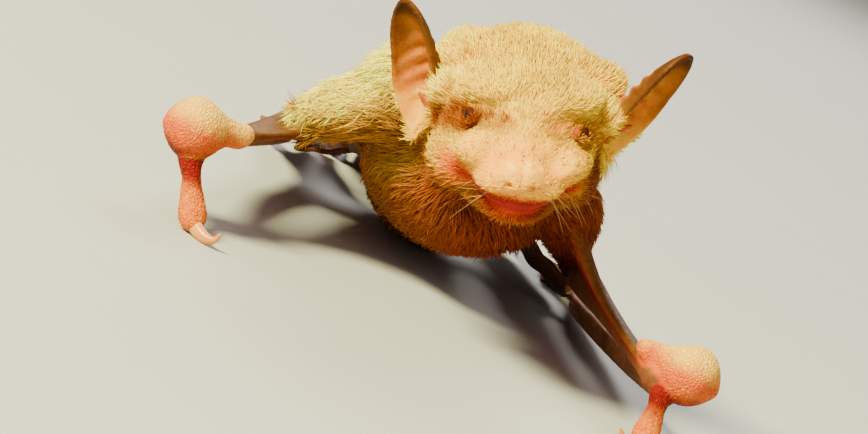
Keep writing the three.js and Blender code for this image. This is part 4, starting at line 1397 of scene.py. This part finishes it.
def coat_piece(name, place, keep, lie, shape, centre, axis, up, material):
    length, width, _, lift = (value[keep] for value in shape)
    roots, normals = place.points[keep], place.normals[keep]
    count = len(roots)
    length = length * (1 + 0.22 * rng.normal(size=count)).clip(0.5, 1.5)
    lift = lift * (1 + 0.35 * rng.normal(size=count)).clip(0.3, 2)
    width = width * (1 + 0.2 * rng.normal(size=count)).clip(0.6, 1.5)
    curl = 0.12 * rng.normal(size=count)
    points, faces, along = spindles(roots, normals, lie[keep], length, width, lift, curl)
    points[:, 2] = np.maximum(points[:, 2], 0.02)
    piece = mesh_object(name, points, faces)
    tip, root = (np.repeat(colour[keep], 8, axis=0) for colour in coat_colours(place))
    bright = 1 + 0.2 * noise(roots, 0.7, 31) + 0.1 * noise(roots, 2.6, 32) + 0.14 * rng.normal(size=count)
    colour = mix(root, tip, ease(along, 0.05, 0.8)) * np.repeat(bright.clip(0.6, 1.5), 8)[:, None]
    paint(piece.data, "coat", np.clip(colour, 0.002, 1))
    at = np.repeat(unwrap(roots, centre, axis, up), 8, axis=0)
    around = np.tile([0.5, 0, 0.5, 1, 0, 0.5, 1, 0.5], count)
    uv = at + PATCH * (np.stack([around, along], -1) - 0.5)
    layer = piece.data.uv_layers.new(name="OFBake")
    layer.data.foreach_set("uv", uv[faces.ravel()].astype(np.float32).ravel())
    piece.data.materials.append(material)
    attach(piece, "root")
    return piece


def make_coat(skin, material):
    points, faces = mesh_arrays(skin.data)
    normals = normals_of(points, faces)
    corners = points[faces]
    area = np.linalg.norm(np.cross(corners[:, 1] - corners[:, 0], corners[:, 2] - corners[:, 0]), axis=1) / 2
    middles = corners.mean(1)
    many = coat_shape(Place(middles, normals[faces].mean(1)))[2] * area
    count = int(many.sum())
    chosen = np.searchsorted(np.cumsum(many), (np.arange(count) + rng.random(count)) / count * many.sum())
    chosen = np.clip(chosen, 0, len(faces) - 1)
    a, b = rng.random((2, count))
    flip = a + b > 1
    a, b = np.where(flip, 1 - a, a), np.where(flip, 1 - b, b)
    share = np.stack([1 - a - b, a, b], -1)
    roots = np.einsum("ij,ijk->ik", share, corners[chosen])
    root_normals = unit(np.einsum("ij,ijk->ik", share, normals[faces[chosen]]))
    place = Place(roots, root_normals)
    shape, lie = coat_shape(place), coat_lie(place)
    head = place.on_head > 0.5
    across, back = place.body[:, 0], place.body[:, 1]
    regions = {"head": (head, HEAD_AT, HEAD_Y, HEAD_Z)}
    for part, (start, end, centre) in BODY_REGIONS.items():
        regions[part] = (~head & (back >= start) & (back < end), body_point(*centre), unit(SPINE), UP)
    for part, (within, centre, axis, top) in regions.items():
        for side in SIDES:
            found = np.nonzero(within & ((across < 0) == (side == "right")))[0]
            parts = max(1, math.ceil(len(found) / TUFTS_EACH))
            found = found[np.argsort(roots[found] @ axis)]
            for i, some in enumerate(np.array_split(found, parts)):
                label = f"coat_{part}_{side}" + (f"_{i + 1}" if parts > 1 else "")
                coat_piece(label, place, some, lie, shape, centre, axis, top, material)


# ---- Materials ----------------------------------------------------------------------------------


class Shader:
    """A short way to write a material's nodes."""

    def __init__(self, name, **sockets):
        self.material = bpy.data.materials.new(name)
        self.material.use_nodes = True
        self.nodes, self.links = self.material.node_tree.nodes, self.material.node_tree.links
        self.main = self.nodes["Principled BSDF"]
        for key, value in sockets.items():
            self.main.inputs[key.replace("_", " ")].default_value = value
        self.where = self.node("ShaderNodeTexCoord").outputs["Object"]

    def node(self, kind, settings=None, **sockets):
        made = self.nodes.new(kind)
        for key, value in (settings or {}).items():
            setattr(made, key, value)
        for key, value in sockets.items():
            numbered = key[0] == "i" and key[1:].isdigit()
            socket = made.inputs[int(key[1:]) if numbered else key.replace("_", " ")]
            if isinstance(value, bpy.types.NodeSocket):
                self.links.new(value, socket)
            else:
                socket.default_value = value
        return made

    def noise(self, size_mm, detail=3.0, roughness=0.55, vector=None):
        made = self.node("ShaderNodeTexNoise", Vector=vector or self.where, Scale=1000 / size_mm)
        made.inputs["Detail"].default_value = detail
        made.inputs["Roughness"].default_value = roughness
        return made.outputs["Fac"]

    def cells(self, size_mm, feature="F1", vector=None):
        where = {"Vector": vector or self.where, "Scale": 1000 / size_mm}
        return self.node("ShaderNodeTexVoronoi", {"feature": feature}, **where).outputs["Distance"]

    def ramp(self, value, low, high, to_low=0.0, to_high=1.0):
        made = self.node("ShaderNodeMapRange", i0=value, i1=low, i2=high, i3=to_low, i4=to_high)
        return made.outputs[0]

    def maths(self, operation, a, b):
        return self.node("ShaderNodeMath", {"operation": operation}, i0=a, i1=b).outputs[0]

    def tint(self, share, a, b, blend="MIX"):
        made = self.node("ShaderNodeMix", {"data_type": "RGBA", "blend_type": blend}, i0=share, i6=a, i7=b)
        return made.outputs[2]

    def attribute(self, name):
        return self.node("ShaderNodeAttribute", {"attribute_name": name})

    def set(self, socket, value):
        self.links.new(value, self.main.inputs[socket])

    def bump(self, height, distance_mm, strength):
        made = self.node("ShaderNodeBump", Height=height, Distance=distance_mm * MM, Strength=strength)
        self.set("Normal", made.outputs["Normal"])


def colour(red, green, blue):
    """A shader colour from the levels of a colour picker."""
    return (*[float(n) for n in rgb(red, green, blue)], 1.0)


def coat_material():
    s = Shader("coat", Roughness=0.65, Specular_IOR_Level=0.06)
    base = s.attribute("coat").outputs["Color"]
    patches = s.ramp(s.noise(0.35), 0.3, 0.7, 0, 0.3)
    s.set("Base Color", s.tint(patches, base, colour(236, 196, 120), "SOFT_LIGHT"))
    return s.material


def skin_material():
    s = Shader("skin", Subsurface_Weight=0.05, Subsurface_Scale=0.0006)
    s.main.inputs["Subsurface Radius"].default_value = (1.0, 0.4, 0.25)
    base = s.attribute("marking").outputs["Color"]
    fur = s.attribute("texture").outputs["Color"]
    parts = s.node("ShaderNodeSeparateColor", Color=fur)
    coat, papillae, wing = parts.outputs[0], parts.outputs[1], parts.outputs[2]
    mottle = s.ramp(s.noise(0.7), 0.35, 0.65, 0.0, 0.5)
    toned = s.tint(mottle, base, colour(140, 80, 30), "SOFT_LIGHT")
    wander = s.node("ShaderNodeTexNoise", Vector=s.where, Scale=2200.0, Detail=2.0).outputs["Color"]
    bent = s.node("ShaderNodeMix", {"data_type": "VECTOR"}, i0=0.0004, i4=s.where, i5=wander).outputs[1]
    raised = s.ramp(s.cells(0.25, "DISTANCE_TO_EDGE", bent), 0.0, 0.3)
    furrows = s.maths("MULTIPLY", papillae, s.ramp(raised, 0.0, 0.75, 0.4, 0.0))
    toned = s.tint(furrows, toned, colour(186, 60, 28), "MULTIPLY")
    own = s.node("ShaderNodeSeparateColor", Color=s.attribute("face").outputs["Color"])
    wet, follicles = own.outputs[0], own.outputs[1]
    dots = s.maths("MULTIPLY", follicles, s.ramp(s.cells(0.5), 0.12, 0.24, 0.75, 0.0))
    s.set("Base Color", s.tint(dots, toned, colour(110, 48, 20)))
    dry = s.ramp(s.noise(0.3), 0.3, 0.7, 0.45, 0.68)
    s.set("Roughness", s.maths("SUBTRACT", dry, s.maths("MULTIPLY", wet, 0.2)))
    s.set("Specular IOR Level", s.ramp(wet, 0.0, 1.0, 0.1, 0.5))
    lumps = s.maths("MULTIPLY", s.noise(0.45, 2.0), s.maths("MULTIPLY", wet, 3.0))
    fine = s.maths("ADD", s.noise(0.12, 4.0, 0.6), lumps)
    bumps = s.maths("MULTIPLY", raised, papillae)
    veins = s.maths("MULTIPLY", s.noise(0.9, 5.0, 0.65), wing)
    strands = s.maths("MULTIPLY", s.noise(0.16, 2.0, 0.5), coat)
    small = s.maths("ADD", s.maths("MULTIPLY", fine, 0.35), veins)
    s.bump(s.maths("ADD", s.maths("ADD", bumps, strands), small), 0.11, 0.85)
    return s.material


def eye_material():
    s = Shader("eye", Roughness=0.25, Specular_IOR_Level=0.14)
    s.set("Base Color", s.tint(s.ramp(s.noise(0.4), 0.35, 0.7), colour(22, 9, 3), colour(48, 20, 6)))
    return s.material


def claw_material():
    s = Shader("claw", Specular_IOR_Level=0.5, Subsurface_Weight=0.1, Subsurface_Scale=0.0004)
    along = s.attribute("along").outputs["Fac"]
    pale, amber = colour(234, 160, 62), colour(206, 116, 34)
    grain = s.node("ShaderNodeMapping", Vector=s.where, Scale=(1, 0.2, 1)).outputs[0]
    streak = s.noise(0.12, 3.0, 0.6, grain)
    streaks = s.ramp(streak, 0.3, 0.75, 0, 0.35)
    s.set("Base Color", s.tint(streaks, s.tint(along, pale, amber), colour(110, 72, 36)))
    s.set("Roughness", s.ramp(streak, 0.3, 0.7, 0.25, 0.42))
    s.bump(streak, 0.02, 0.5)
    return s.material


def whisker_material():
    s = Shader("whisker", Specular_IOR_Level=0.4)
    s.set("Base Color", s.tint(s.noise(0.8), colour(226, 176, 104), colour(150, 96, 48)))
    s.set("Roughness", s.ramp(s.noise(0.2), 0.3, 0.7, 0.4, 0.6))
    return s.material


def floor_material():
    s = Shader("floor", Specular_IOR_Level=0.25)
    s.set("Base Color", s.tint(s.noise(30.0, 5.0), colour(186, 189, 193), colour(194, 197, 201)))
    s.set("Roughness", s.ramp(s.noise(8.0), 0.3, 0.7, 0.72, 0.85))
    return s.material


# ---- The pieces ---------------------------------------------------------------------------------

BODY_KINDS = ("neck", "trunk", "front", "upper_arm", "forearm", "hand", "pad", "thumb")
HEAD_PARTS = ("head", "lower", "nose", "ear", "tragus", "eye")
FLESH_NODES = ["head", "lower_jaw", "nose", "trunk", "neck", "tail"] + [
    f"{part}_{name}"
    for name in SIDES
    for part in (
        "ear", "tragus", "upper_arm", "forearm", "thumb_pad", "thumb", "hand_wing", "front_membrane",
        "arm_membrane", "thigh", "shin", "foot", "calcar", "tail_membrane",
    )
]


def dress_skin(skin, material):
    points, faces = mesh_arrays(skin.data)
    place = Place(points, normals_of(points, faces))
    paint(skin.data, "marking", skin_colours(place))
    pads, wing = (
        ease(-np.min([place.near[kind] for kind in kinds], axis=0), -0.3, 0.1)
        for kinds in (("pad", "thumb"), ("hand", "membrane", "front", "ear", "foot"))
    )
    paint(skin.data, "texture", np.stack([place.fur, pads, wing], -1))
    wet = np.maximum(ease(-place.near["nose"], -0.3, 0.1), 0.3 * ease(-place.near["lip"], -0.3, 0.1))
    spots = head_spots(place)
    follicles = np.clip(spots["muzzle"] + spots["swelling"] + spots["jowl"], 0, 1) * place.on_head * (1 - wet)
    paint(skin.data, "face", np.stack([wet, follicles, 0 * wet], -1))
    skin.data.materials.append(material)
    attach(skin, "root")
    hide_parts(*FLESH_NODES)


def piece_of(name, surface, material, nodes=(), along=None):
    made = mesh_object(name, *surface)
    if along is not None:
        layer = made.data.attributes.new("along", "FLOAT", "POINT")
        layer.data.foreach_set("value", np.asarray(along, np.float32))
    made.data.materials.append(material)
    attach(made, "root")
    if nodes:
        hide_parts(*nodes)
    return made


def joined(surfaces):
    points, faces, start = [], [], 0
    for some, triangles in surfaces:
        points.append(some)
        faces.append(triangles + start)
        start += len(some)
    return np.vstack(points), np.vstack(faces)


def make_eyes():
    material = eye_material()
    for name, side in SIDES.items():
        at = EYE_AT * [side, 1, 1]
        axes = turned(np.array([side, 1, 1]) * GAZE)
        globe = head_ball(at, (0.5, 0.5, 0.54), axes, sides=48, rings=32)
        piece_of(f"eyeball_{name}", globe, material, [f"eye_{name}"])


def hook(stations, sides=20, rings=60):
    """A curved tapering claw, and how far along it each point is."""
    surface = loft(stations, sides=sides, rings=rings)
    share = np.repeat(np.linspace(0, 1, rings), sides)
    return surface, np.r_[share, 0, 1]


TOE_CLAW = [  # ahead of the toe's last joint, how far it fans out, up, then three radii
    (-0.25, 2.1, 0.5, 0.13, 0.17, 0.17),
    (0.35, 2.3, 0.58, 0.11, 0.16, 0.14),
    (0.75, 2.42, 0.42, 0.07, 0.1, 0.1),
    (0.92, 2.48, 0.1, 0, 0, 0),
]


def make_claws():
    material = claw_material()
    for name, arm in arms.items():
        stations = [
            (arm.in_thumb(-3.0, 0.75, 0.05), 0.52),
            (arm.in_thumb(-3.6, 0.5, 0.45), 0.46),
            (arm.in_thumb(-4.0, 0.42, 0.95), 0.37),
            (arm.in_thumb(-4.25, 0.58, 1.5), 0.24),
            (arm.in_thumb(-4.35, 1.2, 2.1), 0.0),
        ]
        surface, along = hook([(*at, 0.8 * r, r, r) for at, r in stations])
        piece_of(f"claw_{name}", surface, material, [f"thumb_claw_{name}"], along)
        hooks = []
        on_foot = foot_place(arm.side)
        for number in range(-2, 3):
            _, fan, length = toe_line(arm.side, number)
            toe = [(*on_foot(length + y, fan * spread, z), *radii) for y, spread, z, *radii in TOE_CLAW]
            hooks.append(hook(toe, 12, 24))
        surface = joined([some for some, _ in hooks])
        along = np.concatenate([share for _, share in hooks])
        piece_of(f"toe_claws_{name}", surface, material, (), along)


WHISKERS_EACH_SIDE = 13
WHISKER_RADII = (0.017, 0.015, 0.011, 0.0)


def make_whiskers():
    """Long pale hairs from the sides of the muzzle."""
    material = whisker_material()
    hairs = []
    for side in SIDES.values():
        for _ in range(WHISKERS_EACH_SIDE):
            back = rng.uniform(-7.6, -4.4)
            up = rng.uniform(-2.9, -0.9)
            start = np.array([side * (1.6 + (back + 7.6) * 0.72), back, up])
            out = [side * rng.uniform(0.5, 1.0), rng.uniform(0.0, 0.9), rng.uniform(-0.9, -0.1)]
            out = unit(np.array(out))
            length = rng.uniform(1.2, 3.2)
            droop = np.array([0, 0.6, -0.6]) * rng.uniform(0.2, 0.7)
            line = [start + out * (length * t) + droop * (length * t * t) for t in (0, 0.35, 0.7, 1.0)]
            hairs.append(head_loft([(*p, r) for p, r in zip(line, WHISKER_RADII)], sides=5, rings=12))
    piece_of("whiskers", joined(hairs), material)


# ---- Floor, light and camera --------------------------------------------------------------------

VIEW_AZIMUTH, VIEW_ELEVATION, VIEW_ROLL = -8.0, 10.0, 27.0
VIEW_DISTANCE = 180.0
SENSOR = 36.0
LENS = 119.45
NOSE_ASIDE, NOSE_ABOVE = 0.1014, 0.0449  # where the nose stands from the picture's middle, in picture widths


FLOOR_HALF_WIDTH = 1.6  # metres


def make_stage():
    corners = np.array([[-1, -1, 0], [1, -1, 0], [1, 1, 0], [-1, 1, 0]]) * (FLOOR_HALF_WIDTH / MM)
    floor = mesh_object("floor", corners, np.array([[0, 1, 2, 3]]), smooth=False)
    floor.data.materials.append(floor_material())


def area_light(name, at, towards, size, power, tint):
    lamp = bpy.data.lights.new(name, "AREA")
    lamp.shape, lamp.size, lamp.energy, lamp.color = "DISK", size, power, tint
    made = bpy.data.objects.new(name, lamp)
    bpy.context.scene.collection.objects.link(made)
    back = unit(np.array(at, float) - np.array(towards, float))
    right = unit(np.cross([0, 0, 1], back))
    up = np.cross(back, right)
    place_object(made, np.array(at, float), right, up, back)


def place_object(thing, at, right, up, back):
    turn = Matrix([[right[i], up[i], back[i], at[i]] for i in range(3)] + [[0, 0, 0, 1]])
    thing.matrix_world = turn


SKY_TINT, SKY_STRENGTH = (0.96, 0.9, 0.82, 1), 0.34
LIGHTS = {  # where it stands from the head, its width, both in metres, its power and its tint
    "key": ((-0.38, -0.29, 0.37), 0.16, 14.5, (1.0, 0.93, 0.46)),
    "fill": ((0.3, -0.45, 0.3), 0.4, 1.0, (1.0, 0.92, 0.78)),
    "back": ((0.1, 0.5, 0.4), 0.35, 3.6, (1.0, 0.94, 0.84)),
}


def make_lights():
    target = HEAD_AT * MM
    for name, (away, *lamp) in LIGHTS.items():
        area_light(name, target + away, target, *lamp)
    world = bpy.data.worlds.new("studio")
    world.use_nodes = True
    sky = world.node_tree.nodes["Background"].inputs
    sky["Color"].default_value, sky["Strength"].default_value = SKY_TINT, SKY_STRENGTH
    bpy.context.scene.world = world


def make_camera():
    a, e, r = (math.radians(n) for n in (VIEW_AZIMUTH, VIEW_ELEVATION, VIEW_ROLL))
    back = np.array([math.sin(a) * math.cos(e), -math.cos(a) * math.cos(e), math.sin(e)])
    level = np.array([math.cos(a), math.sin(a), 0])
    top = np.cross(back, level)
    right = level * math.cos(r) + top * math.sin(r)
    up = -level * math.sin(r) + top * math.cos(r)
    wide = VIEW_DISTANCE * SENSOR / LENS
    at = node_centre("nose") + back * VIEW_DISTANCE - right * (NOSE_ASIDE * wide) - up * (NOSE_ABOVE * wide)
    lens = bpy.data.cameras.new("camera")
    lens.sensor_width = SENSOR
    lens.lens = LENS
    lens.clip_start = 0.01
    camera = bpy.data.objects.new("camera", lens)
    bpy.context.scene.collection.objects.link(camera)
    place_object(camera, at * MM, right, up, back)
    bpy.context.scene.camera = camera


add_flesh()
whole = Field(*box_of(frame["nodes"], MARGIN), CELL).run(keep_kinds=True)
face = Field(*box_of([n for n in frame["nodes"] if n.split("_")[0] in HEAD_PARTS], 0.5), FACE_CELL)
face.run(leave_out=BODY_KINDS)
skin = make_skin()
dress_skin(skin, skin_material())
make_eyes()
make_claws()
make_whiskers()
make_coat(skin, coat_material())
make_stage()
make_lights()
make_camera()
